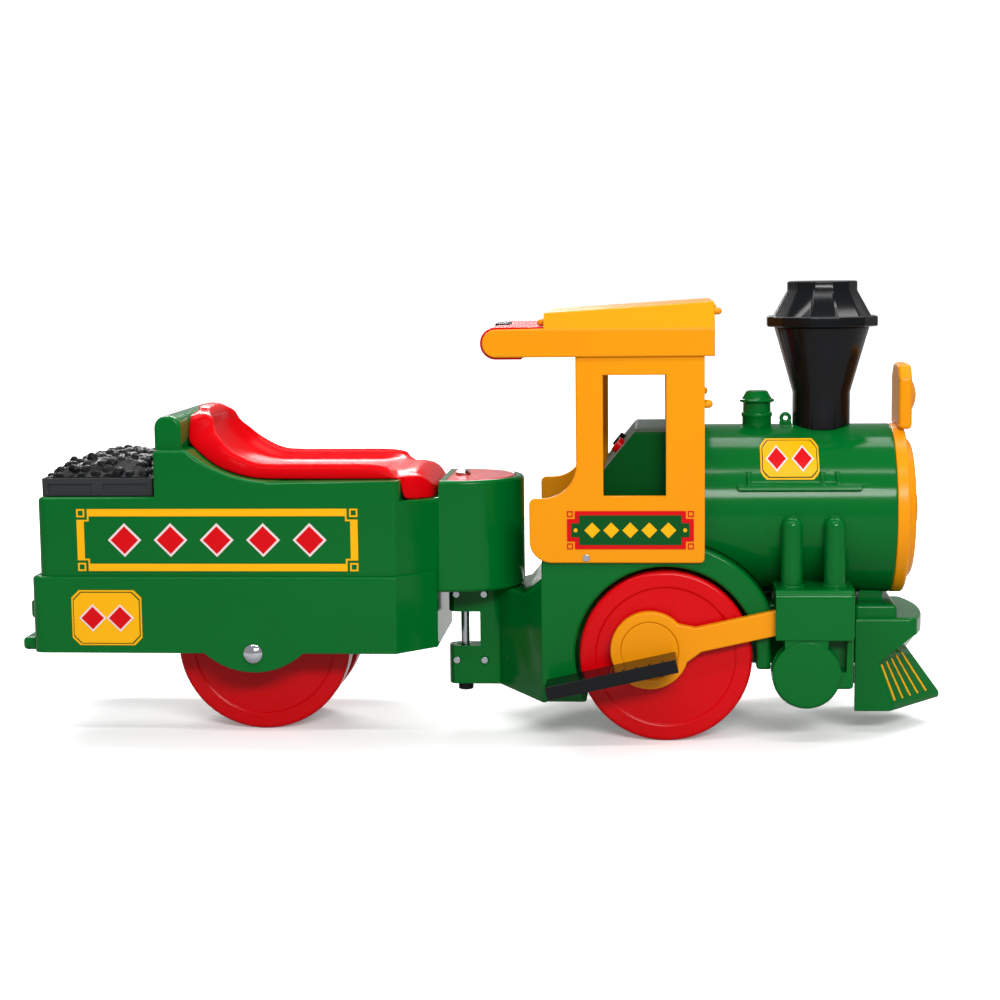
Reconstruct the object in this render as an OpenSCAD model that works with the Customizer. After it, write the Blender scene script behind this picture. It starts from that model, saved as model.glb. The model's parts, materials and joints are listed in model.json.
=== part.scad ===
// Ride-on steam train: a two-wheeled locomotive and a two-wheeled tender joined by one upright pin.
// Millimetres. +X is forward, +Y is the rider's left, +Z is up, and the wheels stand on Z = 0.
// Every X below is measured from the hinge pin.

/* [Overall] */
// From the hinge pin back to the rear step
tender_reach = 505; // [495:1:540]
// From the hinge pin forward to the tip of the plough
loco_reach = 560; // [545:1:590]
// Thickness of the moulded walls
wall = 4; // [3:0.5:5]

/* [Wheels] */
// Diameter of a front wheel
front_wheel_d = 195; // [190:1:196]
// Diameter of a rear wheel
rear_wheel_d = 203; // [196:1:208]
// Width of a wheel's tread
wheel_w = 40; // [34:1:44]
// Front axle, ahead of the hinge pin
front_axle_x = 237.5; // [234:0.5:240]
// Rear axle, behind the hinge pin
rear_axle_back = 231; // [200:1:260]
// How far a front wheel's outer face stands inside the frame's flank
wheel_shy = 1.7; // [1.5:0.1:3]
// Outer face of a rear wheel, from the centre plane
rear_wheel_out = 66; // [60:1:80]
// Diameter of both steel axles
axle_d = 12; // [10:0.5:14]
// Diameter of a wheel's hub
hub_d = 30; // [26:1:32]

/* [Rods and footrests] */
// How far the crank pin stands behind the wheel's centre at rest
crank_back = 18; // [16:0.5:19]
// How far the crank pin stands above the wheel's centre at rest
crank_up = 9.5; // [9:0.5:11]
// Diameter of the crank pin
crank_d = 20; // [16:1:20]
// Rise of the rod towards the front, in degrees
rod_tilt = 12.7; // [10:0.1:14]
// Length of the rod from the crank pin to its front end
rod_len = 150; // [145:1:152]
// Height of the rod
rod_h = 28; // [24:1:30]
// Diameter of the rod's big end
big_end_d = 88; // [84:1:96]
// Thickness of the rod
rod_t = 13; // [10:0.5:14]
// Length of a footrest
foot_len = 148; // [130:1:160]
// Depth of a footrest, outward from the rod
foot_depth = 47; // [40:1:56]
// Height of a footrest
foot_h = 15; // [12:0.5:18]

/* [Hinge] */
// Diameter of the steel hinge pin
pin_d = 10; // [8:0.5:12]
// Radius of the frame's two lugs round the pin
lug_r = 19; // [17:0.5:20]
// Half the thickness of the lugs
lug_half = 15; // [14:0.5:16]
// Foot of the lower lug
lug_low_z = 44; // [40:1:50]
// Head of the lower lug
lug_low_top_z = 90; // [80:1:96]
// Foot of the upper lug
lug_up_z = 131; // [120:1:138]
// Head of the upper lug, on which the tender's nose turns
lug_top_z = 163; // [158:1:166]

/* [Tender] */
// Rear face of the tender's upper body, behind the pin
upper_back = 480; // [470:1:484]
// Half the width of the upper body
upper_half = 118; // [112:1:120]
// Rear face of the lower skirt, behind the pin
skirt_back = 488; // [486:1:494]
// Half the width of the lower skirt
skirt_half = 124; // [122:1:128]
// Foot of the skirt
skirt_z = 101; // [95:1:106]
// Belt line between the skirt and the upper body
belt_z = 190; // [182:1:196]
// Height of the rear deck under the coal
deck_z = 280; // [274:1:286]
// Height of the body under the seat
seat_z = 298; // [294:1:302]
// Shoulder of the body beside the backrest hump
shoulder_z = 334; // [328:1:338]
// Top of the backrest hump
hump_z = 372; // [366:1:376]
// Rear face of the hump, behind the pin
hump_back = 343; // [340:1:346]
// Front face of the hump, behind the pin
hump_front = 312; // [310:1:316]
// Front end of the tender's flat sides, behind the pin
side_front = 67; // [62:1:70]
// Radius of the nose round the hinge pin
nose_r = 72; // [66:1:74]
// Top of the nose
nose_z = 293; // [288:1:296]
// Floor of the notch between the seat and the nose
notch_z = 274; // [270:1:278]
// Rear wall of the notch, behind the pin
notch_back = 62; // [58:1:64]

/* [Seat and coal] */
// Half the width of the seat
seat_half = 100; // [92:1:106]
// Height of the side rails above the body
rail_h = 15; // [12:0.5:18]
// Depth of the dish below the rails
dish_h = 8; // [5:0.5:10]
// Height of the seat's back above the body
back_h = 82; // [78:1:86]
// Height of the tray that carries the coal
tray_h = 21; // [16:1:24]
// Height of the coal above its tray
coal_h = 20; // [16:1:24]

/* [Locomotive frame] */
// Rear face of the frame's flanks
flank_x = 98; // [94:1:100]
// Underside of the frame
frame_z = 45; // [42:1:50]
// Radius of the fender round the front wheel
fender_r = 130; // [126:1:132]
// Radius of the wheel arch
arch_r = 102; // [102:0.5:105]
// Half the width of the frame's front box
front_box_half = 60; // [54:1:64]

/* [Cylinders and pilot] */
// Rear face of a cylinder cover
cyl_x0 = 359; // [359:0.5:362]
// Front face of a cylinder cover
cyl_x1 = 446; // [442:1:448]
// Underside of a cylinder cover
cyl_z0 = 121; // [118:1:124]
// Top of a cylinder cover
cyl_z1 = 177; // [176:0.5:180]
// How far a cylinder cover stands out past the rod
cyl_proud = 10; // [8:0.5:14]
// Diameter of the round drum under a cover
drum_d = 76; // [72:1:78]
// Half the width of the pilot
pilot_half = 77; // [70:1:84]
// Rear face of the pilot
pilot_x0 = 452; // [451:0.5:456]
// Front edge of the pilot's beam at its middle
beam_x1 = 534; // [526:1:538]
// Underside of the plough
plough_z = 28; // [24:1:34]

/* [Boiler] */
// Diameter of the boiler
boiler_d = 196; // [192:1:198]
// Height of the boiler's centre line
boiler_z = 253; // [252:0.5:256]
// Front end of the boiler
boiler_x1 = 496; // [490:1:500]
// Place of the chimney along the train
stack_x = 418; // [410:1:424]
// Top of the chimney
stack_top_z = 516; // [508:1:530]
// Diameter of the chimney's flange
stack_flange_d = 130; // [120:1:134]
// Place of the steam dome along the train
dome_x = 344; // [338:1:348]

/* [Cab] */
// Half the width of the cab
cab_half = 119; // [118:0.5:122]
// Thickness of the cab's sides
cab_t = 5; // [4:0.5:5]
// Rear edge of the cab's sides
cab_x0 = 85; // [82:1:88]
// Front edge of the cab's sides
cab_x1 = 281; // [279:0.5:283]
// Lower edge of the cab's sides
cab_z0 = 205; // [202:1:208]
// Top of the low rear part of the sides
waist_z = 278; // [274:1:282]
// Rear edge of the rear pillar
pillar_x = 138; // [132:1:142]
// Rear edge of the side window
window_x0 = 168.5; // [164:0.5:174]
// Front edge of the side window
window_x1 = 238; // [230:1:242]
// Sill of the side window
window_z0 = 281; // [279:1:286]
// Head of the side window
window_z1 = 415.5; // [408:0.5:420]

/* [Roof and handle] */
// Lower edge of the roof's side bands
band_z0 = 436; // [432:1:440]
// Upper edge of the roof's side bands
band_z1 = 467; // [463:1:470]
// Centre of the bands' round rear ends
arm_x = 50; // [44:1:54]
// Rear edge of the raised roof
slab_x0 = 103; // [98:1:108]
// Front edge of the roof
roof_x1 = 292; // [288:1:296]
// Top of the raised roof at its rear edge
slab_back_z = 485; // [480:1:490]
// Top of the raised roof at its front edge
slab_front_z = 496; // [490:1:502]

/* [Hidden] */
$fn = 64;

// Clearances, and the overrun that carries every cut past its face
clear = 0.3;
run_fit = 0.05;
over = 1;
half = 0.5;

// The object's middle lies on X = 0 of the frame
pin_x = (tender_reach - loco_reach) * half;

front_wheel_r = front_wheel_d * half;
rear_wheel_r = rear_wheel_d * half;
axle_z = front_wheel_r;
rear_axle_z = rear_wheel_r;
axle_r = axle_d * half;
hub_r = hub_d * half;
pin_r = pin_d * half;
boiler_r = boiler_d * half;
rear_axle_x = -rear_axle_back;
crank_x = front_axle_x - crank_back;
crank_z = axle_z + crank_up;
crank_r = crank_d * half;
rod_gap = 3;
frame_half = cab_half - cab_t - clear;
front_wheel_out = frame_half - wheel_shy;
rod_in = front_wheel_out + rod_gap;
rod_out = rod_in + rod_t;
cyl_out = rod_out + cyl_proud;
frame_deck_z = axle_z + fender_r;

// Points of an arc about a centre, from one angle to another
function arc(cx, cy, r, a0, a1, n = 10) =
  [for (i = [0:n]) [cx + r * cos(a0 + (a1 - a0) * i / n), cy + r * sin(a0 + (a1 - a0) * i / n)]];
// A value a share t of the way from a to b
function mix(a, b, t) = a + (b - a) * t;

// A profile drawn in X and Z, given a thickness from y0 to y1
module slab(y0, y1) {
  translate([0, y1, 0]) rotate([90, 0, 0]) linear_extrude(height = y1 - y0) children();
}
// A round bar along Y
module bar_y(x, z, r, y0, y1) {
  translate([x, y0, z]) rotate([-90, 0, 0]) cylinder(h = y1 - y0, r = r);
}
// A round bar along X
module bar_x(x0, x1, z, r) {
  translate([x0, 0, z]) rotate([0, 90, 0]) cylinder(h = x1 - x0, r = r);
}
// A rectangle from corner to corner
module rect(x0, y0, x1, y1) {
  translate([x0, y0]) square([x1 - x0, y1 - y0]);
}
// A box from corner to corner
module box(x0, y0, z0, x1, y1, z1) {
  translate([x0, y0, z0]) cube([x1 - x0, y1 - y0, z1 - z0]);
}
// A rectangle with round corners
module round_rect(x0, y0, x1, y1, r) {
  rect(x0 + r, y0, x1 - r, y1);
  rect(x0, y0 + r, x1, y1 - r);
  for (x = [x0 + r, x1 - r], y = [y0 + r, y1 - r]) translate([x, y]) circle(r);
}
// Pieces are drawn on the left side, +Y, and mirrored for the right
module right_hand() {
  mirror([0, 1, 0]) children();
}
// A solid skinned over rings of points, each ring the same count, closed by its end rings
module skin(rings) {
  m = len(rings);
  n = len(rings[0]);
  points = [for (ring = rings) each ring];
  sides = [for (i = [0:m - 2], j = [0:n - 1])
    let (k = (j + 1) % n)
    each [[i * n + j, i * n + k, (i + 1) * n + k], [i * n + j, (i + 1) * n + k, (i + 1) * n + j]]];
  first = [for (j = [1:n - 2]) [0, j + 1, j]];
  last = [for (j = [1:n - 2]) [(m - 1) * n, (m - 1) * n + j, (m - 1) * n + j + 1]];
  polyhedron(points = points, faces = concat(sides, first, last), convexity = 6);
}

// Wheels
tread_t = 5;
tread_chamfer = 3;
web_t = 5;
face_step = 2;
face_rim = 18;
rib_t = 4;
rib_count = 8;
cap_r = 9;
rear_cap_r = 11;
cap_seat = 5;
crank_end = rod_out - wall - clear;
rod_cap_r = 32;

module wheel_section(wheel_r, sleeve) {
  face_r = wheel_r - face_rim;
  web_y = wheel_w - face_step;
  polygon([
    [axle_r + run_fit, -sleeve], [hub_r, -sleeve], [hub_r, web_y - web_t],
    [wheel_r - tread_t, web_y - web_t], [wheel_r - tread_t, 0], [wheel_r - tread_chamfer, 0],
    [wheel_r, tread_chamfer], [wheel_r, wheel_w - tread_chamfer], [wheel_r - tread_chamfer, wheel_w],
    [face_r, wheel_w], [face_r - face_step, web_y], [cap_r + 2 * clear, web_y],
    [cap_r + 2 * clear, web_y - cap_seat], [axle_r + run_fit, web_y - cap_seat]
  ]);
}
module wheel_body(x, wheel_r, out, sleeve) {
  translate([x, out - wheel_w, wheel_r]) rotate([-90, 0, 0]) {
    rotate_extrude($fn = 96) wheel_section(wheel_r, sleeve);
    for (i = [0:rib_count - 1]) rotate([0, 0, i * 360 / rib_count]) {
      translate([hub_r - over, -rib_t * half, tread_t])
        cube([wheel_r - tread_t - hub_r + 2 * over, rib_t, wheel_w - face_step - tread_t - web_t + over]);
    }
  }
}
module front_wheel(sleeve) {
  wheel_body(front_axle_x, front_wheel_r, front_wheel_out, sleeve);
  bar_y(crank_x, crank_z, crank_r, front_wheel_out - face_step - web_t + over, crank_end);
}
module front_wheel_left() { color("#d01020") front_wheel(front_wheel_out - wheel_w - front_sleeve_in); }
module front_wheel_right() { color("#d01020") right_hand() front_wheel(0); }
module rear_wheel() {
  wheel_body(rear_axle_x, rear_wheel_r, rear_wheel_out, 0);
}
module rear_wheel_left() { color("#d01020") rear_wheel(); }
module rear_wheel_right() { color("#d01020") right_hand() rear_wheel(); }

// Axles and their caps
front_axle_end = front_wheel_out - face_step - clear;
cap_h = 3;
rear_axle_end = skirt_half + cap_h;
dome_h = 4;

module axle_cap(r, rim_h, crown_h, seat_r, seat_h) {
  rotate_extrude() difference() {
    union() {
      rect(0, 0, r, rim_h);
      intersection() {
        translate([0, rim_h + crown_h - (r * r + crown_h * crown_h) / (2 * crown_h)])
          circle((r * r + crown_h * crown_h) / (2 * crown_h));
        rect(0, rim_h, r, rim_h + crown_h);
      }
    }
    rect(0, -over, seat_r, seat_h);
  }
}
module front_axle() {
  color("silver") bar_y(front_axle_x, axle_z, axle_r, -front_axle_end, front_axle_end);
}
module front_axle_caps() {
  color("silver") for (s = [0, 1]) mirror([0, s, 0])
    translate([front_axle_x, front_axle_end - cap_h, axle_z]) rotate([-90, 0, 0]) difference() {
      cylinder(h = cap_h, r = cap_r);
      translate([0, 0, -over]) cylinder(h = cap_h + 2 * over, r = axle_r);
    }
}
module rear_axle() {
  color("silver") bar_y(rear_axle_x, rear_axle_z, axle_r, -rear_axle_end, rear_axle_end);
}
module rear_axle_caps() {
  color("silver") for (s = [0, 1]) mirror([0, s, 0])
    translate([rear_axle_x, skirt_half, rear_axle_z]) rotate([-90, 0, 0])
      axle_cap(rear_cap_r, cap_h, dome_h, axle_r, cap_h);
}
module rear_axle_spacers() {
  spacer_r = axle_r + wall * half;
  rear_in = rear_wheel_out - wheel_w - clear;
  seat_out = rear_wheel_out - face_step - cap_seat + clear;
  color("dimgray") difference() {
    union() {
      bar_y(rear_axle_x, rear_axle_z, spacer_r, -rear_in, rear_in);
      for (s = [0, 1]) mirror([0, s, 0])
        bar_y(rear_axle_x, rear_axle_z, spacer_r, seat_out, skirt_half - wall);
    }
    bar_y(rear_axle_x, rear_axle_z, axle_r + run_fit, -skirt_half, skirt_half);
  }
}

// Connecting rods, drawn along their own axis from the crank pin, then tilted up to the front
neck_len = 18;
neck_h = 44;
foot_back = 120;
foot_drop = 6.5;
foot_rib_count = 9;
foot_rib_half = 1.6;
foot_rib_h = 0.6;
module on_rod() {
  translate([crank_x, 0, crank_z]) rotate([0, -rod_tilt, 0]) children();
}
module connecting_rod() {
  big_end_r = big_end_d * half;
  neck_x = sqrt(big_end_r * big_end_r - neck_h * neck_h / 4);
  on_rod() difference() {
    slab(rod_in, rod_out) {
      circle(big_end_r, $fn = 96);
      rect(0, -rod_h * half, rod_len, rod_h * half);
      polygon([
        [neck_x, -neck_h * half], [neck_x + neck_len, -rod_h * half],
        [neck_x + neck_len, rod_h * half], [neck_x, neck_h * half]
      ]);
    }
    bar_y(0, 0, crank_r + run_fit, rod_in - over, rod_out + over);
    bar_y(0, 0, rod_cap_r, rod_out - wall, rod_out + over);
  }
}
module rod_cap() {
  on_rod() difference() {
    bar_y(0, 0, rod_cap_r - run_fit, rod_out - wall, rod_out - clear);
    bar_y(0, 0, crank_r, rod_out - 2 * wall, rod_out - wall + clear);
  }
}
module footrest() {
  top = -foot_drop;
  on_rod() {
    difference() {
      box(-foot_back, rod_out, top - foot_h, foot_len - foot_back, rod_out + foot_depth, top);
      box(-foot_back + wall, rod_out + wall, top - foot_h - over,
        foot_len - foot_back - wall, rod_out + foot_depth - wall, top - wall);
    }
    for (i = [1:foot_rib_count]) {
      x = -foot_back + i * foot_len / (foot_rib_count + 1);
      box(x - foot_rib_half, rod_out + wall, top - wall * half,
        x + foot_rib_half, rod_out + foot_depth - wall, top + foot_rib_h);
    }
  }
}
module connecting_rod_left() { color("#f5a314") connecting_rod(); }
module connecting_rod_right() { color("#f5a314") right_hand() connecting_rod(); }
module rod_cap_left() { color("#f5a314") rod_cap(); }
module rod_cap_right() { color("#f5a314") right_hand() rod_cap(); }
module footrest_left() { color("#22252b") footrest(); }
module footrest_right() { color("#22252b") right_hand() footrest(); }

// Locomotive frame: two half shells that meet on the centre plane
well_gap = 4;
well_in = front_wheel_out - wheel_w - well_gap;
front_box_z0 = 80;
front_box_z1 = 150;
wedge_x = 42;
ramp_x = 76;
ramp_z = 185;
boss_r = 16;
boss_len = 8;
screw_r = 2;
screw_head_r = 4;
screw_head_h = 2.5;
lug_screw_back = 9;
lug_screw_front = 24;
lug_screw_drop = 11;
lug_screw_rise = 29;
lug_screw_heights = [lug_top_z - lug_screw_drop, lug_low_z + lug_screw_rise];
lug_screws = [for (x = [-lug_screw_back, lug_screw_front], z = lug_screw_heights) [x, z]];
// The frame is shallow ahead of the gears, and ends short of the cylinder covers
keel_x1 = 289;
toe_z = 83;
drum_x = 393.5;
drum_z = 81.5;
frame_x1 = min(cyl_x0, drum_x - drum_d * half) - clear;

module frame_outline(inset) {
  rect(flank_x + inset, frame_z + inset, front_axle_x, frame_deck_z - inset);
  intersection() {
    translate([front_axle_x, axle_z]) circle(fender_r - inset, $fn = 128);
    union() {
      rect(front_axle_x - over, frame_z + inset, keel_x1 - inset, frame_deck_z);
      rect(front_axle_x - over, toe_z + inset, frame_x1 - inset, frame_deck_z);
    }
  }
}
module front_box_outline(inset) {
  rect(front_axle_x, front_box_z0 + inset, pilot_x0 - inset, front_box_z1 - inset);
}
// The rear wedge narrows from the flanks to the hinge lugs
module wedge(inset) {
  intersection() {
    linear_extrude(height = frame_deck_z) polygon([
      [0, 0], [0, lug_half - inset], [wedge_x + inset * half, lug_half - inset],
      [flank_x + inset * half, frame_half - inset], [flank_x + wall + over, frame_half - inset],
      [flank_x + wall + over, 0]
    ]);
    slab(0, frame_half) polygon([
      [lug_r + inset, lug_low_z + inset], [flank_x + wall + over, lug_low_z + inset],
      [flank_x + wall + over, ramp_z - inset], [flank_x, ramp_z - inset],
      [ramp_x, lug_top_z - inset], [lug_r + inset, lug_top_z - inset]
    ]);
  }
}
module lugs() {
  for (z = [[lug_low_z, lug_low_top_z], [lug_up_z, lug_top_z]]) intersection() {
    translate([0, 0, z[0]]) linear_extrude(height = z[1] - z[0]) {
      circle(lug_r);
      rect(0, -lug_half, wedge_x, lug_half);
    }
    box(-lug_r, 0, z[0], wedge_x, lug_half, z[1]);
  }
}
module chassis_half(bearing_r, boss) {
  difference() {
    union() {
      slab(0, frame_half) frame_outline(0);
      slab(0, front_box_half) front_box_outline(0);
      wedge(0);
      lugs();
    }
    difference() {
      union() {
        slab(-over, frame_half - wall) frame_outline(wall);
        slab(-over, front_box_half - wall) front_box_outline(wall);
        intersection() {
          wedge(wall);
          box(wedge_x, -over, 0, flank_x + wall + over, frame_half, frame_deck_z);
        }
      }
      bar_y(front_axle_x, axle_z, arch_r + wall, well_in - wall, frame_half + over);
      bar_y(front_axle_x, axle_z, boss_r, well_in - wall - boss, well_in);
    }
    bar_y(front_axle_x, axle_z, arch_r, well_in, frame_half + over);
    bar_y(front_axle_x, axle_z, bearing_r, -over, frame_half + over);
    translate([0, 0, lug_low_z - over])
      cylinder(h = lug_top_z - lug_low_z + 2 * over, r = pin_r + run_fit);
    for (s = lug_screws) bar_y(s[0], s[1], screw_r, -over, lug_half + over);
  }
}
module chassis_left() { color("#0a7a36") chassis_half(hub_r + clear, 0); }
module chassis_right() { color("#0a7a36") right_hand() chassis_half(axle_r + run_fit, boss_len); }
module chassis_screws() {
  color("silver") for (s = lug_screws) {
    bar_y(s[0], s[1], screw_r - run_fit, -lug_half, lug_half - wall);
    bar_y(s[0], s[1], screw_head_r, -lug_half - screw_head_h, -lug_half);
  }
}

// Drive train on the left side of the frame
gear_m = 1.5;
fine_m = 1;
drive_teeth = 54;
small_teeth = 14;
large_teeth = 60;
pinion_teeth = 12;
idler_angle = 50;
motor_angle = 120;
gear_w = 10;
fine_w = 8;
tooth_play = 0.2;
plate_t = 4;
// Across the train, each piece stands a gap inside the one outside it, from the wheel well inwards
gear_gap = 8;
fine_gap = 4;
plate_gap = 6;
motor_gap = 22;
sleeve_past = 2;
plate_out_y = well_in - wall - plate_t;
gear_y0 = plate_out_y - gear_gap - gear_w;
fine_y0 = gear_y0 - fine_gap - fine_w;
plate_in_y = fine_y0 - plate_gap - plate_t;
front_sleeve_in = gear_y0 - sleeve_past;
motor_r = 18;
motor_len = plate_in_y + well_in - wall - plate_t - motor_gap;
shaft_r = 2.5;
idler_shaft_r = 3;
post_r = 4;
post_dist = 62;
idler_dist = gear_m * (drive_teeth + small_teeth) * half;
motor_dist = fine_m * (large_teeth + pinion_teeth) * half;
idler_x = front_axle_x + idler_dist * cos(idler_angle);
idler_z = axle_z + idler_dist * sin(idler_angle);
motor_x = idler_x + motor_dist * cos(motor_angle);
motor_z = idler_z + motor_dist * sin(motor_angle);
pressure = 20;
root_share = 1.25;
foot_share = 0.1;

// Involute of an angle, in degrees
function inv(a) = tan(a) * 180 / PI - a;
// Half the tooth's angle at radius r
function tooth_half(m, z, r) =
  let (pitch_r = m * z * half, base_r = pitch_r * cos(pressure), rr = max(r, base_r))
  90 / z - tooth_play * half / pitch_r * 180 / PI + inv(pressure) - inv(acos(min(1, base_r / rr)));
function gear_radii(m, z) =
  let (pitch_r = m * z * half, root = pitch_r - m * root_share, tip = pitch_r + m,
       low = max(root + m * foot_share, pitch_r * cos(pressure)))
  [root, low, mix(low, tip, half), tip];
function gear_points(m, z) =
  let (radii = gear_radii(m, z), n = len(radii) - 1)
  [for (i = [0:z - 1]) each concat(
    [for (k = [0:n]) let (a = i * 360 / z - tooth_half(m, z, radii[k])) radii[k] * [cos(a), sin(a)]],
    [for (k = [n:-1:0]) let (a = i * 360 / z + tooth_half(m, z, radii[k])) radii[k] * [cos(a), sin(a)]])];

// A spur gear about Y with a tooth pointing along the given angle
module gear(x, z, m, teeth, angle, y0, w) {
  translate([x, 0, z]) rotate([0, -angle, 0]) slab(y0, y0 + w) polygon(gear_points(m, teeth));
}
module drive_gear() {
  color("ivory") difference() {
    gear(front_axle_x, axle_z, gear_m, drive_teeth, idler_angle, gear_y0, gear_w);
    bar_y(front_axle_x, axle_z, hub_r, gear_y0 - over, gear_y0 + gear_w + over);
  }
}
module idler_gear() {
  color("ivory") difference() {
    union() {
      gear(idler_x, idler_z, gear_m, small_teeth, idler_angle + 180 + 180 / small_teeth,
        fine_y0 + fine_w - over, gear_y0 + gear_w - fine_y0 - fine_w + over);
      gear(idler_x, idler_z, fine_m, large_teeth, motor_angle, fine_y0, fine_w);
    }
    bar_y(idler_x, idler_z, idler_shaft_r + run_fit, fine_y0 - over, gear_y0 + gear_w + over);
  }
}
module idler_shaft() {
  color("silver") bar_y(idler_x, idler_z, idler_shaft_r, plate_in_y, plate_out_y + plate_t);
}
module motor_pinion() {
  color("goldenrod") {
    gear(motor_x, motor_z, fine_m, pinion_teeth, motor_angle + 180 + 180 / pinion_teeth, fine_y0, fine_w);
    bar_y(motor_x, motor_z, shaft_r, plate_in_y - plate_t, fine_y0 + over);
  }
}
module motor() {
  color("gray") difference() {
    union() {
      bar_y(motor_x, motor_z, motor_r, plate_in_y - motor_len, plate_in_y);
      bar_y(motor_x, motor_z, motor_r * half, plate_in_y - motor_len - plate_t, plate_in_y - motor_len);
    }
    bar_y(motor_x, motor_z, shaft_r + run_fit, plate_in_y - plate_t, plate_in_y + over);
  }
}
// Bars between the shafts, with a round pad at each
module plate_outline() {
  centres = [[front_axle_x, axle_z], [idler_x, idler_z], [motor_x, motor_z]];
  for (c = centres) translate(c) circle(hub_r + wall);
  for (i = [0:1]) {
    d = centres[i + 1] - centres[i];
    translate(centres[i]) rotate(atan2(d[1], d[0])) rect(0, -hub_r, norm(d), hub_r);
  }
}
post_angles = [100, 160, 215];
post_places = [for (a = post_angles)
  [front_axle_x + post_dist * cos(a), axle_z + post_dist * sin(a)]];
module gearbox_frame() {
  color("dimgray") difference() {
    union() {
      for (y = [plate_in_y, plate_out_y]) slab(y, y + plate_t) {
        plate_outline();
        for (p = post_places) {
          translate(p) circle(post_r * 2);
          d = [front_axle_x, axle_z] - p;
          translate(p) rotate(atan2(d[1], d[0])) rect(0, -post_r, norm(d), post_r);
        }
      }
      for (p = post_places) bar_y(p[0], p[1], post_r, plate_in_y, plate_out_y + plate_t);
    }
    bar_y(front_axle_x, axle_z, axle_r + run_fit, plate_in_y - over, plate_in_y + plate_t + over);
    bar_y(front_axle_x, axle_z, hub_r + run_fit, plate_out_y - over, plate_out_y + plate_t + over);
    bar_y(idler_x, idler_z, idler_shaft_r, plate_in_y - over, plate_out_y + plate_t + over);
    bar_y(motor_x, motor_z, shaft_r + run_fit, plate_in_y - over, plate_in_y + plate_t + over);
  }
}

// Cylinder covers, with their drum and two upright steam pipes
drum_len = 38;
drum_in = cyl_out - drum_len;
cavity_in = rod_in - over;
cavity_z0 = 84;
cyl_round = 9;
web_half = 24;
web_z0 = 64;
pipe_r = 12;
pipe_out = 104;
pipe_top_z = 256;
pipe_places = [378.5, 426];
collar_h = 3;
collar_r = 14;

module cylinder_cover() {
  drum_r = drum_d * half;
  difference() {
    union() {
      difference() {
        slab(front_box_half, cyl_out) rect(cyl_x0, cyl_z0, cyl_x1, cyl_z1);
        difference() {
          box(cyl_x0 - over, cyl_out - cyl_round, cyl_z1 - cyl_round,
            cyl_x1 + over, cyl_out + over, cyl_z1 + over);
          translate([cyl_x0 - over, cyl_out - cyl_round, cyl_z1 - cyl_round]) rotate([0, 90, 0])
            cylinder(h = cyl_x1 - cyl_x0 + 2 * over, r = cyl_round);
        }
      }
      bar_y(drum_x, drum_z, drum_r, drum_in, cyl_out);
      slab(drum_in, cyl_out - wall * half)
        rect(drum_x - web_half, drum_z, drum_x + web_half, cyl_z0 + over);
      slab(drum_in, cyl_out - cyl_round) rect(drum_x, web_z0, cyl_x1, cyl_z0 + over);
      for (x = pipe_places) translate([x, pipe_out, cyl_z1 - over]) {
        cylinder(h = pipe_top_z - pipe_r - cyl_z1 + over, r = pipe_r);
        cylinder(h = collar_h + over, r = collar_r);
        translate([0, 0, pipe_top_z - pipe_r - cyl_z1 + over]) sphere(pipe_r);
      }
    }
    box(frame_x1 - over, cavity_in, cavity_z0, cyl_x1 - 2 * wall, cyl_out - wall, cyl_z1 - wall);
    box(cyl_x0 + wall, front_box_half - over, cyl_z0 + wall,
      cyl_x1 - wall, cavity_in - wall, cyl_z1 - wall);
    bar_y(drum_x, drum_z, drum_r - wall, drum_in - over, cyl_out - wall);
    bar_x(cyl_x0 - over, cyl_x1 + over, boiler_z, boiler_r + clear);
  }
}
module cylinder_cover_left() { color("#0a7a36") cylinder_cover(); }
module cylinder_cover_right() { color("#0a7a36") right_hand() cylinder_cover(); }

// Pilot: a bowed beam, step and saddle over a chin that falls back to the plough
beam_z0 = 116;
beam_z1 = 136;
beam_round = 10;
beam_bow = 11;
step_x1 = 500;
step_half = 70;
step_z1 = 150;
saddle_x0 = 459;
saddle_x1 = 487;
saddle_half = 40;
saddle_top_z = 172;
chin_back = 4;
plough_side_x = 478;
plough_side_z = 83;
plough_nose_x = 520;
plough_nose_z = 90;
plough_foot_x = 495;
lip_h = 8;
plough_rings = 5;

// The beam in plan, its front edge an arc between round corners
module beam_plan() {
  ends = beam_x1 - beam_bow;
  reach = pilot_half - beam_round;
  r = (reach * reach + beam_bow * beam_bow) / (2 * beam_bow);
  turn = asin(reach / r);
  polygon(concat(
    [[pilot_x0, -pilot_half]],
    arc(ends - beam_round, -reach, beam_round, -90, -turn, 5),
    arc(beam_x1 - r, 0, r, -turn, turn, 12),
    arc(ends - beam_round, reach, beam_round, turn, 90, 5),
    [[pilot_x0, pilot_half]]
  ));
}
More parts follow.
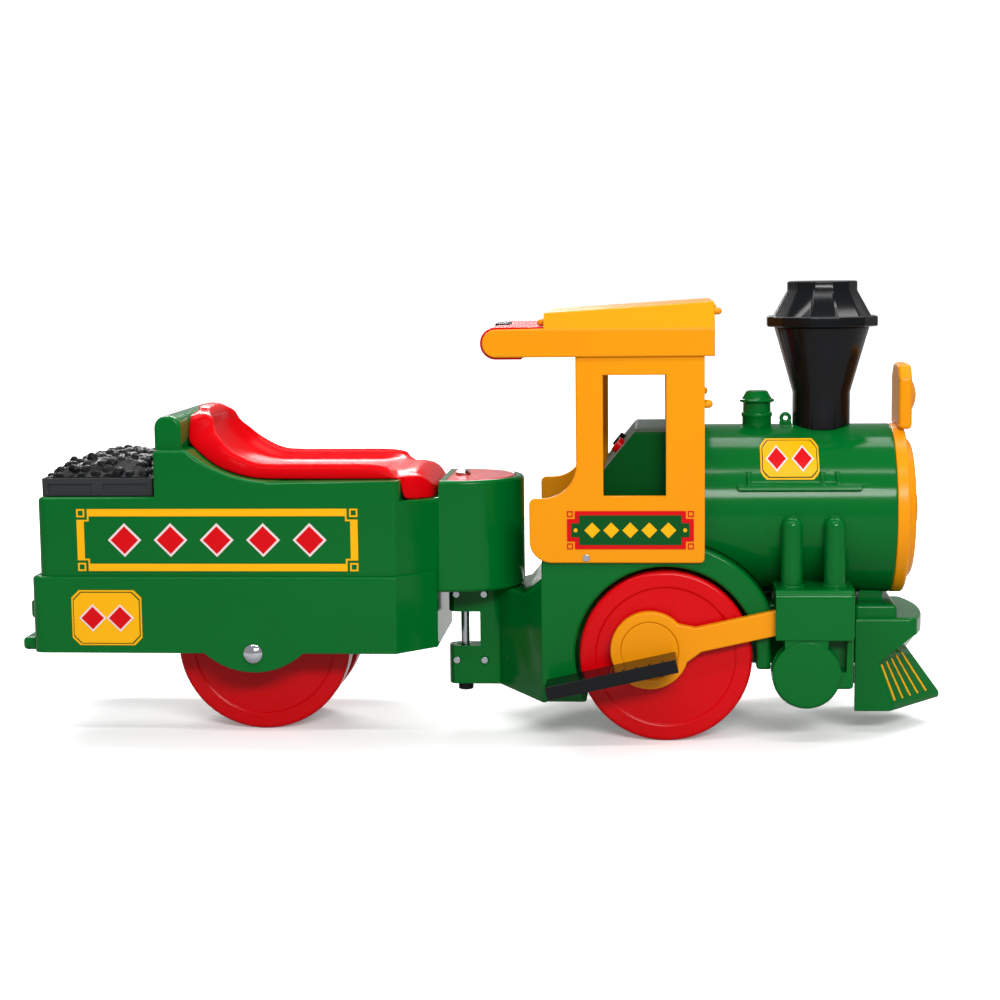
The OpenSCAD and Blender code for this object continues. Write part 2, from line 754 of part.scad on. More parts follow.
// A ring of the plough from the place and height of its sides and of its nose
function plough_ring(side_x, side_z, nose_x, nose_z) = [
  [pilot_x0, -pilot_half, side_z], [side_x, -pilot_half, side_z], [nose_x, 0, nose_z],
  [side_x, pilot_half, side_z], [pilot_x0, pilot_half, side_z]];
module plough() {
  brow_x = beam_x1 - beam_bow - chin_back;
  foot = plough_z + lip_h;
  brow = beam_z0 + over;
  rings = plough_rings;
  skin(concat(
    [plough_ring(brow_x, brow, beam_x1 - chin_back, brow)],
    [for (i = [0:rings]) let (t = i / rings) plough_ring(
      mix(plough_side_x, plough_foot_x - over, t), mix(plough_side_z, foot, t),
      mix(plough_nose_x, loco_reach - over, t), mix(plough_nose_z, foot, t))],
    [plough_ring(plough_foot_x, plough_z, loco_reach, plough_z)]
  ));
}
module pilot() {
  color("#0a7a36") difference() {
    union() {
      translate([0, 0, beam_z0]) linear_extrude(height = beam_z1 - beam_z0) beam_plan();
      box(pilot_x0, -step_half, beam_z1 - over, step_x1, step_half, step_z1);
      box(saddle_x0, -saddle_half, step_z1 - over, saddle_x1, saddle_half, saddle_top_z);
      plough();
    }
    bar_x(pilot_x0 - over, beam_x1, boiler_z, boiler_r + clear);
    box(pilot_x0 - over, -pilot_half + wall, plough_z - over,
      plough_side_x - wall, pilot_half - wall, plough_side_z - wall);
  }
}

// Boiler and what stands on it
boiler_x0 = cab_x1 - over - clear;
boiler_front_t = 3;
rail_x0 = 321;
rail_x1 = 454;
rail_z0 = 283;
rail_z1 = 290;
rail_proud = 4;
rail_posts = [331, 413, 430];
rail_post_r = 2.4;
rail_post_z = 304;
eye_x = 377;
eye_r = 7;
eye_hole_r = 2.6;
eye_t = 5;
eye_rise = 7;
eye_z = boiler_z + boiler_r + eye_rise;

module boiler() {
  color("#0a7a36") difference() {
    union() {
      difference() {
        bar_x(boiler_x0, boiler_x1, boiler_z, boiler_r, $fn = 128);
        bar_x(boiler_x0 - over, boiler_x1 - boiler_front_t, boiler_z, boiler_r - wall, $fn = 128);
      }
      difference() {
        intersection() {
          slab(-boiler_r - rail_proud, boiler_r + rail_proud) {
            rect(rail_x0, rail_z0, rail_x1, rail_z1);
            for (x = [rail_x0, rail_x1])
              translate([x, (rail_z0 + rail_z1) * half]) circle((rail_z1 - rail_z0) * half);
            for (x = rail_posts) rect(x - rail_post_r, rail_z1 - over, x + rail_post_r, rail_post_z);
          }
          bar_x(boiler_x0, boiler_x1, boiler_z, boiler_r + rail_proud);
        }
        bar_x(boiler_x0 - over, boiler_x1 + over, boiler_z, boiler_r - wall * half);
      }
      difference() {
        union() {
          bar_y(eye_x, eye_z, eye_r, -eye_t * half, eye_t * half);
          box(eye_x - eye_r, -eye_t * half, eye_z - eye_r - wall * half,
            eye_x + eye_r, eye_t * half, eye_z - eye_hole_r);
        }
        bar_x(boiler_x0, boiler_x1, boiler_z, boiler_r - wall * half);
      }
    }
    bar_y(eye_x, eye_z, eye_hole_r, -eye_t, eye_t);
    bar_y(front_axle_x, axle_z, fender_r + clear, -boiler_d, boiler_d);
  }
}

// Smokebox front, turned about the boiler's centre line
rim_t = 15;
door_r = 82;
door_t = 9;
boss_front_r = 22;
door_turn = 70;
module smokebox_front() {
  rim_r = boiler_r;
  door_x = rim_t + door_t;
  color("#f5a314") translate([boiler_x1, 0, boiler_z]) rotate([0, 90, 0]) rotate_extrude($fn = 128) {
    polygon(concat(
      [[0, 0], [rim_r, 0]],
      arc(rim_r - wall, rim_t - wall, wall, 0, 90, 4),
      [[door_r + wall, rim_t]],
      arc(door_r - door_t, rim_t, door_t, 0, door_turn, 5),
      [[boss_front_r + wall, door_x]],
      arc(boss_front_r - wall, door_x + wall, wall, 0, 90, 4),
      [[0, door_x + 2 * wall]]
    ));
  }
}

// Headlamp: a plate with cut corners and a domed lens, standing on the smokebox rim
lamp_z = 384;
lamp_half = 37;
lamp_x0 = 502.5;
lamp_x1 = 518;
lens_r = 22;
lens_h = 8;
lamp_chamfer = 15;
module headlamp() {
  dome = (lens_r * lens_r + lens_h * lens_h) / (2 * lens_h);
  color("#f5a314") difference() {
    union() {
      translate([lamp_x0, 0, lamp_z]) rotate([90, 0, 90]) linear_extrude(height = lamp_x1 - lamp_x0)
        polygon([
          [-lamp_half, -lamp_half], [lamp_half, -lamp_half],
          [lamp_half, lamp_half - lamp_chamfer], [lamp_half - lamp_chamfer, lamp_half],
          [lamp_chamfer - lamp_half, lamp_half], [-lamp_half, lamp_half - lamp_chamfer]
        ]);
      translate([lamp_x1 - over, 0, lamp_z]) rotate([0, 90, 0]) rotate_extrude() intersection() {
        translate([0, lens_h + over - dome]) circle(dome, $fn = 96);
        rect(0, 0, lens_r, lens_h + over);
      }
    }
    bar_x(lamp_x0 - over, lamp_x1 + lens_h + over, boiler_z, boiler_r + run_fit);
  }
}

// Chimney in two pieces, and the steam dome
neck_r = 33;
neck_top_z = 388;
flange_z0 = 464;
flange_z1 = 476;
lower_top_r = 54.5;
upper_foot_r = 58;
stack_rim_r = 41;
rim_h = 11;
stack_sides = 12;
module stack_base() {
  color("#15171b") difference() {
    translate([stack_x, 0, 0]) rotate_extrude() difference() {
      polygon([
        [0, boiler_z], [neck_r, boiler_z], [neck_r, neck_top_z], [lower_top_r, flange_z0], [0, flange_z0]
      ]);
      rect(0, 0, neck_r - wall, neck_top_z);
    }
    bar_x(boiler_x0, boiler_x1, boiler_z, boiler_r + run_fit);
  }
}
module stack_cap() {
  turn = 13;
  color("#15171b") translate([stack_x, 0, 0]) rotate([0, 0, turn]) {
    translate([0, 0, flange_z0])
      cylinder(h = flange_z1 - flange_z0, d = stack_flange_d, $fn = stack_sides);
    translate([0, 0, flange_z1 - over])
      cylinder(h = stack_top_z - rim_h - flange_z1 + over,
        r1 = upper_foot_r, r2 = stack_rim_r, $fn = stack_sides);
    translate([0, 0, stack_top_z - rim_h - over])
      cylinder(h = rim_h + over, r = stack_rim_r, $fn = stack_sides);
  }
}
dome_r = 16.5;
dome_ring_r = 20;
dome_ring_z = 376;
dome_ring_h = 5;
dome_cap_r = 10;
dome_top_z = 390;
module steam_dome() {
  color("#0a7a36") difference() {
    translate([dome_x, 0, 0]) rotate_extrude() polygon([
      [0, boiler_z], [dome_r, boiler_z], [dome_r, dome_ring_z], [dome_ring_r, dome_ring_z + over],
      [dome_ring_r, dome_ring_z + dome_ring_h], [dome_cap_r + over, dome_top_z - over],
      [dome_cap_r - over, dome_top_z], [0, dome_top_z]
    ]);
    bar_x(boiler_x0, boiler_x1, boiler_z, boiler_r + run_fit);
  }
}

// Cab sides with their window and the sweep down to the waist
foot_round = 25;
sill_round = 5;
waist_round = 7;
sweep_r = 38;
cab_top_z = band_z1 - wall - clear;
front_peg_r = 4.7;
front_peg_z = 383;
front_peg_len = 9;
cab_screw_x = 149;
cab_screw_z = 211;
module cab_outline() {
  difference() {
    union() {
      polygon(concat(
        arc(cab_x0 + foot_round, cab_z0 + foot_round, foot_round, 180, 270),
        arc(cab_x1 - sill_round, cab_z0 + sill_round, sill_round, 270, 360, 4),
        [[cab_x1, waist_z + over]],
        [[pillar_x, waist_z + over], [pillar_x, waist_z]],
        arc(cab_x0 + waist_round, waist_z - waist_round, waist_round, 90, 180)
      ));
      rect(pillar_x, waist_z, cab_x1, cab_top_z);
      polygon(concat(
        [[pillar_x + over, waist_z - over], [pillar_x + over, waist_z + sweep_r]],
        arc(pillar_x - sweep_r, waist_z + sweep_r, sweep_r, 0, -90, 12),
        [[pillar_x - sweep_r, waist_z - over]]
      ));
    }
    rect(window_x0, window_z0, window_x1, window_z1);
  }
}
module cab_side() {
  difference() {
    union() {
      slab(cab_half - cab_t, cab_half) cab_outline();
      translate([0, cab_half - front_peg_r, 0]) {
        bar_x(cab_x1 - over, cab_x1 + front_peg_len - front_peg_r, front_peg_z, front_peg_r);
        translate([cab_x1 + front_peg_len - front_peg_r, 0, front_peg_z]) sphere(front_peg_r);
      }
    }
    bar_y(cab_screw_x, cab_screw_z, screw_r, cab_half - cab_t - over, cab_half + over);
  }
}
module cab_side_left() { color("#f5a314") cab_side(); }
module cab_side_right() { color("#f5a314") right_hand() cab_side(); }
module cab_screws() {
  color("gray") for (s = [0, 1]) mirror([0, s, 0]) {
    bar_y(cab_screw_x, cab_screw_z, screw_r - run_fit, cab_half - cab_t, cab_half);
    bar_y(cab_screw_x, cab_screw_z, screw_head_r, cab_half, cab_half + screw_head_h * half);
  }
}
front_window_half = 84;
front_window_z0 = 362;
front_window_z1 = 424;
module cab_front() {
  color("#f5a314") difference() {
    box(boiler_x0 - cab_t, -frame_half, axle_z, boiler_x0, frame_half, cab_top_z);
    box(boiler_x0 - 2 * cab_t, -front_window_half, front_window_z0,
      cab_x1 + over, front_window_half, front_window_z1);
    bar_y(front_axle_x, axle_z, fender_r + clear, -cab_half, cab_half);
  }
}

// Roof: side bands that run back as arms, and a raised top with sloping sides
band_in = cab_half + clear;
band_out = band_in + wall;
slab_top_half = 100;
arm_r = (band_z1 - band_z0) * half;
arm_z = (band_z1 + band_z0) * half;
peg_r = 4;
peg_len = 9;
peg_z_rear = 474;
peg_z_front = 485;
module roof_section(inset) {
  intersection() {
    slab(-band_out, band_out) polygon([
      [slab_x0 + inset, band_z1 - over - inset], [slab_x0 + inset, slab_back_z - inset],
      [roof_x1 - inset, slab_front_z - inset], [roof_x1 - inset, band_z1 - over - inset]
    ]);
    rotate([90, 0, 90]) linear_extrude(height = roof_x1) polygon([
      [-band_out + inset, band_z1 - over - inset], [band_out - inset, band_z1 - over - inset],
      [band_out - inset, band_z1], [slab_top_half - inset * half, slab_front_z],
      [-slab_top_half + inset * half, slab_front_z], [-band_out + inset, band_z1]
    ]);
  }
}
module roof_peg(x, z, len) {
  for (s = [-1, 1]) translate([0, s * slab_top_half, 0]) {
    bar_x(min(x, x + len), max(x, x + len), z, peg_r);
    translate([x + len, 0, z]) sphere(peg_r);
  }
}
module cab_roof() {
  color("#f5a314") {
    difference() {
      union() {
        roof_section(0);
        for (s = [0, 1]) mirror([0, s, 0]) slab(band_in, band_out) {
          rect(arm_x, band_z0, roof_x1, band_z1);
          translate([arm_x, arm_z]) circle(arm_r);
        }
        box(roof_x1 - wall, -band_in - over, band_z0, roof_x1, band_in + over, band_z1);
      }
      roof_section(wall);
    }
    roof_peg(slab_x0 + over, peg_z_rear, -peg_len + peg_r);
    roof_peg(roof_x1 - over, peg_z_front, peg_len - peg_r);
  }
}

// Handle between the arms, with the push button that drives the train
grip_proud = 2.5;
grip_r = arm_r + grip_proud;
grip_half = band_in - clear;
grip_foot_x = 78;
button_x0 = 42;
button_x1 = 58;
button_half = 32;
button_proud = 2;
button_travel = 2;
button_skirt = 4;
switch_h = 10;
module handle() {
  inner_r = grip_r - wall;
  top = arm_z + grip_r;
  color("#d01020") difference() {
    union() {
      slab(-grip_half, grip_half) difference() {
        union() {
          translate([arm_x, arm_z]) circle(grip_r);
          rect(arm_x, arm_z, slab_x0 - clear, top);
          rect(arm_x, arm_z - grip_r, grip_foot_x, arm_z);
        }
        translate([arm_x, arm_z]) circle(inner_r);
        rect(arm_x, arm_z - inner_r, slab_x0, arm_z + inner_r);
      }
      for (s = [0, 1]) mirror([0, s, 0]) slab(grip_half - wall, grip_half) intersection() {
        rect(0, arm_z - grip_r, slab_x0 - clear, top);
        union() {
          translate([arm_x, arm_z]) circle(grip_r);
          rect(arm_x, arm_z - grip_r, grip_foot_x, top);
        }
      }
    }
    box(button_x0, -button_half, arm_z, button_x1, button_half, top + over);
  }
}
module throttle_button() {
  top = arm_z + grip_r;
  color("#15171b") {
    box(button_x0 + clear, -button_half + clear, top - wall - button_skirt,
      button_x1 - clear, button_half - clear, top + button_proud);
  }
}
module throttle_switch() {
  foot = arm_z + grip_r - wall - button_skirt - button_travel - clear;
  shelf_half = button_half + wall;
  color("dimgray") {
    box(button_x0, -shelf_half, foot - switch_h, button_x1, shelf_half, foot);
    for (s = [0, 1]) mirror([0, s, 0])
      box(arm_x, button_half, foot - over, button_x1, shelf_half, arm_z + grip_r - wall);
  }
}

// Dashboard with two sprung buttons on its sloping face
dash_x0 = 168;
dash_brow_x = 203;
dash_top_z = 350;
dash_rise = 43;
dash_knee_z = dash_top_z - dash_rise;
dash_front_x = 245;
neck_drop = 12;
dash_neck_z = dash_top_z - neck_drop;
dash_half = 94;
dash_neck_half = 80;
key_r = 9;
key_t = 12;
key_proud = 6;
key_travel = 3;
key_side = 36;
dash_slope = atan2(dash_top_z - dash_knee_z, dash_brow_x - dash_x0);
key_x = (dash_x0 + dash_brow_x) * half;
key_z = (dash_knee_z + dash_top_z) * half;
module dash_outline(inset) {
  foot = frame_deck_z - (inset > 0 ? over : 0);
  knee = dash_knee_z + inset * (sin(dash_slope) - 1) / cos(dash_slope);
  brow = dash_brow_x + inset * (1 - cos(dash_slope)) / sin(dash_slope);
  polygon([
    [dash_x0 + inset, foot], [dash_x0 + inset, knee], [brow, dash_top_z - inset],
    [dash_front_x - inset, dash_top_z - inset], [dash_front_x - inset, foot]
  ]);
}
// Places a piece on the sloping face, its Z standing out of the face
module on_dash(y) {
  translate([key_x, y, key_z]) rotate([0, -dash_slope, 0]) children();
}
module dashboard() {
  color("#0a6a30") difference() {
    union() {
      slab(-dash_half, dash_half) dash_outline(0);
      box(dash_front_x - over, -dash_neck_half, frame_deck_z,
        boiler_x0 - cab_t, dash_neck_half, dash_neck_z);
    }
    slab(-dash_half + wall, dash_half - wall) dash_outline(wall);
    box(dash_front_x - wall - over, -dash_neck_half + wall, frame_deck_z - over,
      boiler_x0 - cab_t - wall, dash_neck_half - wall, dash_neck_z - wall);
    for (y = [-key_side, key_side]) on_dash(y)
      translate([0, 0, -key_t]) cylinder(h = 2 * key_t, r = key_r + clear);
  }
}
module dash_key(y) {
  on_dash(y) {
    translate([0, 0, key_proud - key_t]) cylinder(h = key_t, r = key_r);
    translate([0, 0, key_proud - key_t - wall * half]) cylinder(h = wall * half, r = key_r + wall * half);
  }
}
module horn_button() { color("#d01020") dash_key(-key_side); }
module whistle_button() { color("#15171b") dash_key(key_side); }
module sound_module() {
  depth = key_t - key_proud + wall * half + key_travel + clear;
  half_w = key_side + key_r + 2 * wall;
  color("darkgreen") on_dash(0) {
    translate([-key_r - wall, -half_w, -depth - wall]) cube([2 * (key_r + wall), 2 * half_w, wall]);
    for (y = [-half_w, half_w - wall]) translate([-key_r, y, -depth - over])
      cube([2 * key_r, wall, depth + over - wall - clear]);
  }
}

// Tender body: a lower skirt, a narrower upper body, the backrest hump and the round nose
rear_round = 12;
nose_round = 8;
neck_back = 22;
skirt_front = 24;
skirt_front_half = 80;
saddle_r = 141;
saddle_x = -210;
sweep = acos(1 - (shoulder_z - seat_z) / saddle_r);
hump_half = 108;
hump_round = 14;
tab_r = 85;
tab_low_z = 79;
bay_x0 = -468;
bay_x1 = -356;
bay_half = 92;
bay_z = 186;
pin_boss_r = 14;
cover_r = 61;
cover_t = 3;
step_z0 = 102;
step_z1r = 116;
lug_rear_z0 = 138;
lug_rear_z1 = 160;
lug_rear_out = 6;
step_half_w = 108;

module upper_plan(inset) {
  h = upper_half - inset;
  back = -upper_back + inset;
  r = rear_round - inset * half;
  polygon(concat(
    arc(back + r, -h + r, r, 180, 270, 6),
    [[-side_front - inset * half, -h], [-neck_back, -nose_r + inset], [0, -nose_r + inset],
     [0, nose_r - inset], [-neck_back, nose_r - inset], [-side_front - inset * half, h]],
    arc(back + r, h - r, r, 90, 180, 6)
  ));
  circle(nose_r - inset, $fn = 128);
}
module skirt_plan(inset) {
  h = skirt_half - inset;
  back = -skirt_back + inset;
  r = rear_round - inset * half;
  polygon(concat(
    arc(back + r, -h + r, r, 180, 270, 6),
    [[-side_front - inset * half, -h], [-skirt_front - inset, -skirt_front_half + inset * half],
     [-skirt_front - inset, skirt_front_half - inset * half], [-side_front - inset * half, h]],
    arc(back + r, h - r, r, 90, 180, 6)
  ));
}
// Side outline of the upper body, its seat sweep an arc
module upper_outline(inset) {
  foot = belt_z - (inset > 0 ? inset + over : 0);
  r = saddle_r + inset;
  polygon(concat(
    [[-upper_back, foot], [-upper_back, deck_z - inset], [-hump_back + inset, deck_z - inset],
     [-hump_back + inset, shoulder_z - inset]],
    arc(saddle_x, seat_z + saddle_r, r, 270 - sweep, 270, 12),
    [[-notch_back - inset, seat_z - inset], [-notch_back - inset, notch_z - inset],
     [-neck_back + inset, notch_z - inset], [-neck_back + inset, nose_z - 2 * inset],
     [nose_r, nose_z - 2 * inset], [nose_r, lug_top_z + clear + inset],
     [-skirt_front - inset, lug_top_z + clear + inset], [-skirt_front - inset, foot]]
  ));
}
module hump(inset) {
  r = hump_round;
  slab(-hump_half + inset, hump_half - inset) polygon(concat(
    [[-hump_front - inset, seat_z], [-hump_front - inset, hump_z - r]],
    arc(-hump_front - r, hump_z - r, r - inset, 0, 90, 6),
    arc(-hump_back + r, hump_z - r, r - inset, 90, 180, 6),
    [[-hump_back + inset, seat_z]]
  ));
}
module tender_shell(inset) {
  h = skirt_half + over;
  intersection() {
    linear_extrude(height = hump_z) upper_plan(inset);
    slab(-h, h) upper_outline(inset);
  }
  hump(inset);
  translate([0, 0, skirt_z - (inset > 0 ? over : 0)])
    linear_extrude(height = belt_z - skirt_z - (inset > 0 ? inset - over : 0)) skirt_plan(inset);
}
module axle_tabs() {
  for (s = [0, 1]) mirror([0, s, 0]) slab(skirt_half - wall, skirt_half) intersection() {
    translate([rear_axle_x, tab_low_z + tab_r]) circle(tab_r, $fn = 96);
    rect(rear_axle_x - tab_r, tab_low_z, rear_axle_x + tab_r, skirt_z + over);
  }
}
module rear_step() {
  box(-tender_reach, -step_half_w, step_z0, -skirt_back + over, step_half_w, step_z1r);
  box(-skirt_back - lug_rear_out, -step_half_w, lug_rear_z0, -skirt_back + over, step_half_w, lug_rear_z1);
}
module cover_plan(grow) {
  intersection() {
    circle(cover_r + grow, $fn = 96);
    rect(-neck_back + 2 * wall - grow, -nose_r, nose_r, nose_r);
  }
}
module tender_body() {
  color("#0a7a36") difference() {
    union() {
      difference() {
        tender_shell(0);
        difference() {
          tender_shell(wall);
          box(bay_x0 - wall, -bay_half - wall, bay_z - wall, bay_x1 + wall, bay_half + wall, deck_z);
          translate([0, 0, lug_top_z]) cylinder(h = nose_z - lug_top_z, r = pin_boss_r);
        }
      }
      axle_tabs();
      rear_step();
    }
    box(bay_x0, -bay_half, bay_z, bay_x1, bay_half, deck_z + over);
    translate([0, 0, nose_z - cover_t]) linear_extrude(height = cover_t + over) cover_plan(clear);
    translate([0, 0, lug_top_z - over]) cylinder(h = nose_z - lug_top_z + 2 * over, r = pin_r + run_fit);
    bar_y(rear_axle_x, rear_axle_z, axle_r + run_fit, -skirt_half - over, skirt_half + over);
  }
}
module nose_cover() {
  color("#d01020") difference() {
    translate([0, 0, nose_z - cover_t]) linear_extrude(height = cover_t) cover_plan(0);
    translate([0, 0, nose_z - cover_t - over]) cylinder(h = cover_t + 2 * over, r = pin_r + clear);
  }
}

// Hinge pin and its two caps
pin_tail = 8;
pin_low_z = lug_low_z - pin_tail;
pin_cap_r = 9;
pin_cap_h = 2.5;
module hinge_pin() {
  color("silver") translate([0, 0, pin_low_z]) cylinder(h = nose_z + pin_cap_h - pin_low_z, r = pin_r);
}
module pin_cap_top() {
  color("silver") translate([0, 0, nose_z]) axle_cap(pin_cap_r, pin_cap_h, dome_h, pin_r, pin_cap_h);
}
module pin_cap_bottom() {
  depth = lug_low_z - clear - pin_low_z;
  color("#22252b") translate([0, 0, lug_low_z - clear]) mirror([0, 0, 1])
    axle_cap(pin_cap_r, depth, dome_h * half, pin_r, depth);
}

// Seat: a skin over cross rings, from the front apron over the dished pan to the round crest
seat_gap = clear;
apron_x = -25;
apron_z = 284;
apron_half = 68;
lip_x = -46;
lip_z = 307;
lip_half = 90;
sill_half = 97;
edge_drop = 6;
apron_share = 0.6;
pan_rings = 3;
rail_x = -79;
rail_toe = 9;
dish_x = -222;
dish_back_r = 77;
seat_back_x = -hump_front + seat_gap;
crest_back = 12;
crest_drop = 9;
crest_side_drop = 7;
crest_under = 10;
back_rim_h = 12;
rim_turn = 24;
wall_x = saddle_x - saddle_r * sin(sweep);
// Shares of the half width across a ring, and how far up the rail each one lies
row_shares = [1, 0.97, 0.9, 0.8, 0.7, 0.58, 0.35, 0];
rise_shares = [0.55, 0.9, 1, 0.85, 0.5, 0.2, 0.03, 0];
// Shares of the seat's width at the crest's front, top and back
crest_shares = [0.9, 0.8, 0.7];
// Share of the half width by which the back has narrowed at its crest
taper_share = 0.12;
// Angles round the back's dish
back_angles = [12, 24, 36, 48, 60, 68, 75];
taper_turn = 36;
wall_turn = 60;
crest_turn = 84;
back_turn = 90;

function under_z(x) =
  let (d = min(saddle_r * sin(sweep), max(0, saddle_x - x)))
  seat_z + seat_gap + saddle_r - sqrt(saddle_r * saddle_r - d * d);
// One ring: the dish point, the rail point, the underside point and the half width
function seat_ring(dish, rail, under, w) =
  let (
    n = len(row_shares) - 1,
    top = [for (i = [0:n])
      let (p = i < 1 ? mix(under, rail, rise_shares[0]) : mix(dish, rail, rise_shares[i]))
      [p[0], w * row_shares[i], p[1]]],
    low = [for (i = [0:n]) [under[0], w * row_shares[i], under[1]]])
  concat(
    top, [for (i = [n - 1:-1:0]) [top[i][0], -top[i][1], top[i][2]]],
    [for (i = [0:n]) [low[i][0], -low[i][1], low[i][2]]], [for (i = [n - 1:-1:0]) low[i]]);
function pan_ring(x) = seat_ring(
  [x, seat_z + rail_h - dish_h], [x, seat_z + rail_h], [x, under_z(x)], seat_half);
// A point at an angle round the back's dish, raised square to it
function dish_point(a, rise) = [
  dish_x - (dish_back_r - rise) * sin(a),
  seat_z + rail_h - dish_h + dish_back_r - (dish_back_r - rise) * cos(a)];
// Height of the back's rear edge at an angle round the dish
function back_under_z(a) =
  mix(under_z(seat_back_x), seat_z + back_h - crest_under, (a - wall_turn) / (back_turn - wall_turn));
// Share of the seat's width at an angle round the dish
function taper(a) = 1 - taper_share * pow(max(0, (a - taper_turn) / (crest_turn - taper_turn)), 2);
// Height of the back's rim above its dish at an angle round the dish
function rim(a) = mix(dish_h, back_rim_h, min(1, a / rim_turn));
function back_ring(a) =
  let (
    ux = a > wall_turn ? seat_back_x : mix(saddle_x, wall_x, a / wall_turn),
    uz = a > wall_turn ? back_under_z(a) : under_z(ux))
  seat_ring(dish_point(a, 0), dish_point(a, rim(a)), [ux, uz], seat_half * taper(a));
// A ring of the apron, its edges lower than its middle
function apron_ring(x, z, drop, low, w) = seat_ring([x, z], [x, z - drop], low, w);
module seat() {
  apron_mid = mix(apron_x, lip_x, half);
  crest_z = seat_z + back_h;
  crest_x = seat_back_x + crest_back;
  sill_x = -notch_back + over;
  toe_x = rail_x + rail_toe;
  apron = [
    apron_ring(apron_x, apron_z, 0, [apron_x, notch_z + seat_gap], apron_half),
    apron_ring(apron_mid, mix(apron_z, lip_z, apron_share), 0, [apron_mid, notch_z + seat_gap],
      mix(apron_half, lip_half, half)),
    apron_ring(lip_x, lip_z, edge_drop, [lip_x, notch_z + seat_gap], lip_half),
    apron_ring(sill_x + over, lip_z, edge_drop, [sill_x, notch_z + seat_gap], sill_half - over),
    apron_ring(sill_x, lip_z - over, edge_drop, [sill_x, seat_z + seat_gap], sill_half),
    apron_ring(toe_x, lip_z - 2 * over, wall, [toe_x, seat_z + seat_gap], seat_half - over)
  ];
  crest = [
    seat_ring(dish_point(crest_turn, dish_h), dish_point(crest_turn, dish_h),
      [seat_back_x, back_under_z(crest_turn)], seat_half * crest_shares[0]),
    seat_ring([crest_x, crest_z], [crest_x, crest_z - crest_side_drop],
      [seat_back_x, crest_z - crest_under], seat_half * crest_shares[1]),
    seat_ring([seat_back_x, crest_z - over], [seat_back_x, crest_z - over - crest_side_drop],
      [seat_back_x, crest_z - crest_drop], seat_half * crest_shares[2])
  ];
  color("#d01020") skin(concat(
    apron,
    [for (t = [0:pan_rings]) pan_ring(mix(rail_x, dish_x, t / pan_rings))],
    [for (a = back_angles) back_ring(a)],
    crest));
}

// Coal cover: a panelled tray and the coal heaped on it
tray_x0 = -476;
tray_x1 = -347;
tray_half = 105;
panel_depth = 2;
panel_border = 7;
tray_lip = 3;
coal_rows = 16;
coal_cols = 24;
lump_h = 5;
module coal_tray() {
  z0 = deck_z + clear;
  z1 = deck_z + tray_h;
  mid = (tray_x0 + tray_x1) * half;
  color("#1b1d22") difference() {
    box(tray_x0, -tray_half, z0, tray_x1, tray_half, z1);
    box(tray_x0 + wall, -tray_half + wall, z0 - over, tray_x1 - wall, tray_half - wall, z1 - wall);
    for (s = [0, 1]) mirror([0, s, 0]) for (x = [[tray_x0, mid], [mid, tray_x1]])
      box(x[0] + panel_border, tray_half - panel_depth, z0 + panel_depth,
        x[1] - panel_border, tray_half + over, z1 - panel_border);
    for (y = [[-tray_half, 0], [0, tray_half]])
      box(tray_x0 - over, y[0] + panel_border, z0 + panel_depth,
        tray_x0 + panel_depth, y[1] - panel_border, z1 - panel_border);
  }
}
// Angles that the lumps' waves turn through over the tray's length and width
lump_turn_u = 1720;
lump_turn_v = 2110;
lump_sway = 300;
sway_turn = 870;
// Shares of the tray over which the coal rises from its edges and up to the mound's top
edge_share = 0.1;
slope_share = 0.45;
side_drop_share = 0.35;
// Height of the coal at shares u and v of the tray's length and width
function from_edge(t) = min(1, t / edge_share) * min(1, (1 - t) / edge_share);
function coal_z(u, v) =
  let (
    mound = sin(90 * min(1, u / slope_share)) * (1 - side_drop_share * pow(abs(2 * v - 1), 3)),
    along = sin(lump_turn_u * u + lump_sway * sin(sway_turn * v)),
    across = sin(lump_turn_v * v + lump_sway * sin(sway_turn * u)))
  from_edge(u) * from_edge(v) * ((coal_h - lump_h) * mound + lump_h * (1 + along * across) * half);
module coal_pile() {
  base = deck_z + tray_h;
  x0 = tray_x0 + tray_lip;
  x1 = tray_x1 - tray_lip;
  h = tray_half - tray_lip;
  rings = [for (i = [0:coal_rows]) let (u = i / coal_rows, x = mix(x0, x1, u))
    concat(
      [[x, -h, base]],
      [for (j = [0:coal_cols]) let (v = j / coal_cols) [x, mix(-h, h, v), base + over + coal_z(u, v)]],
      [[x, h, base]])];
  color("#101114") skin(rings);
}

// Battery in the bay under the coal
battery_len = 70;
battery_half = 50;
battery_h = 82;
post_h = 6;
module battery() {
  x1 = bay_x1 - clear;
  color("#26282c") {
    box(x1 - battery_len, -battery_half, bay_z, x1, battery_half, bay_z + battery_h);
    for (y = [-battery_half * half, battery_half * half])
      translate([x1 - battery_len * half, y, bay_z + battery_h - over])
        cylinder(h = post_h + over, r = post_h);
  }
}

// Everything is drawn about the hinge pin, then moved so that the frame's X = 0 is the object's middle
module placed() {
  translate([pin_x, 0, 0]) children();
}
placed() chassis_right();
placed() chassis_left();
placed() chassis_screws();
placed() boiler();
placed() smokebox_front();
placed() headlamp();
placed() stack_base();
placed() stack_cap();
placed() steam_dome();
placed() cab_side_right();
placed() cab_side_left();
placed() cab_screws();
placed() cab_front();
placed() cab_roof();
placed() handle();
placed() throttle_button();
placed() throttle_switch();
placed() dashboard();
placed() horn_button();
placed() whistle_button();
placed() sound_module();
placed() cylinder_cover_right();
placed() cylinder_cover_left();
placed() pilot();
placed() front_axle();
placed() front_axle_caps();
placed() front_wheel_right();
placed() front_wheel_left();
placed() connecting_rod_right();
placed() connecting_rod_left();
placed() rod_cap_right();
placed() rod_cap_left();
placed() footrest_right();
placed() footrest_left();
placed() gearbox_frame();
placed() motor();
placed() motor_pinion();
placed() idler_gear();
placed() idler_shaft();
placed() drive_gear();
placed() tender_body();
placed() seat();
placed() nose_cover();
placed() coal_tray();
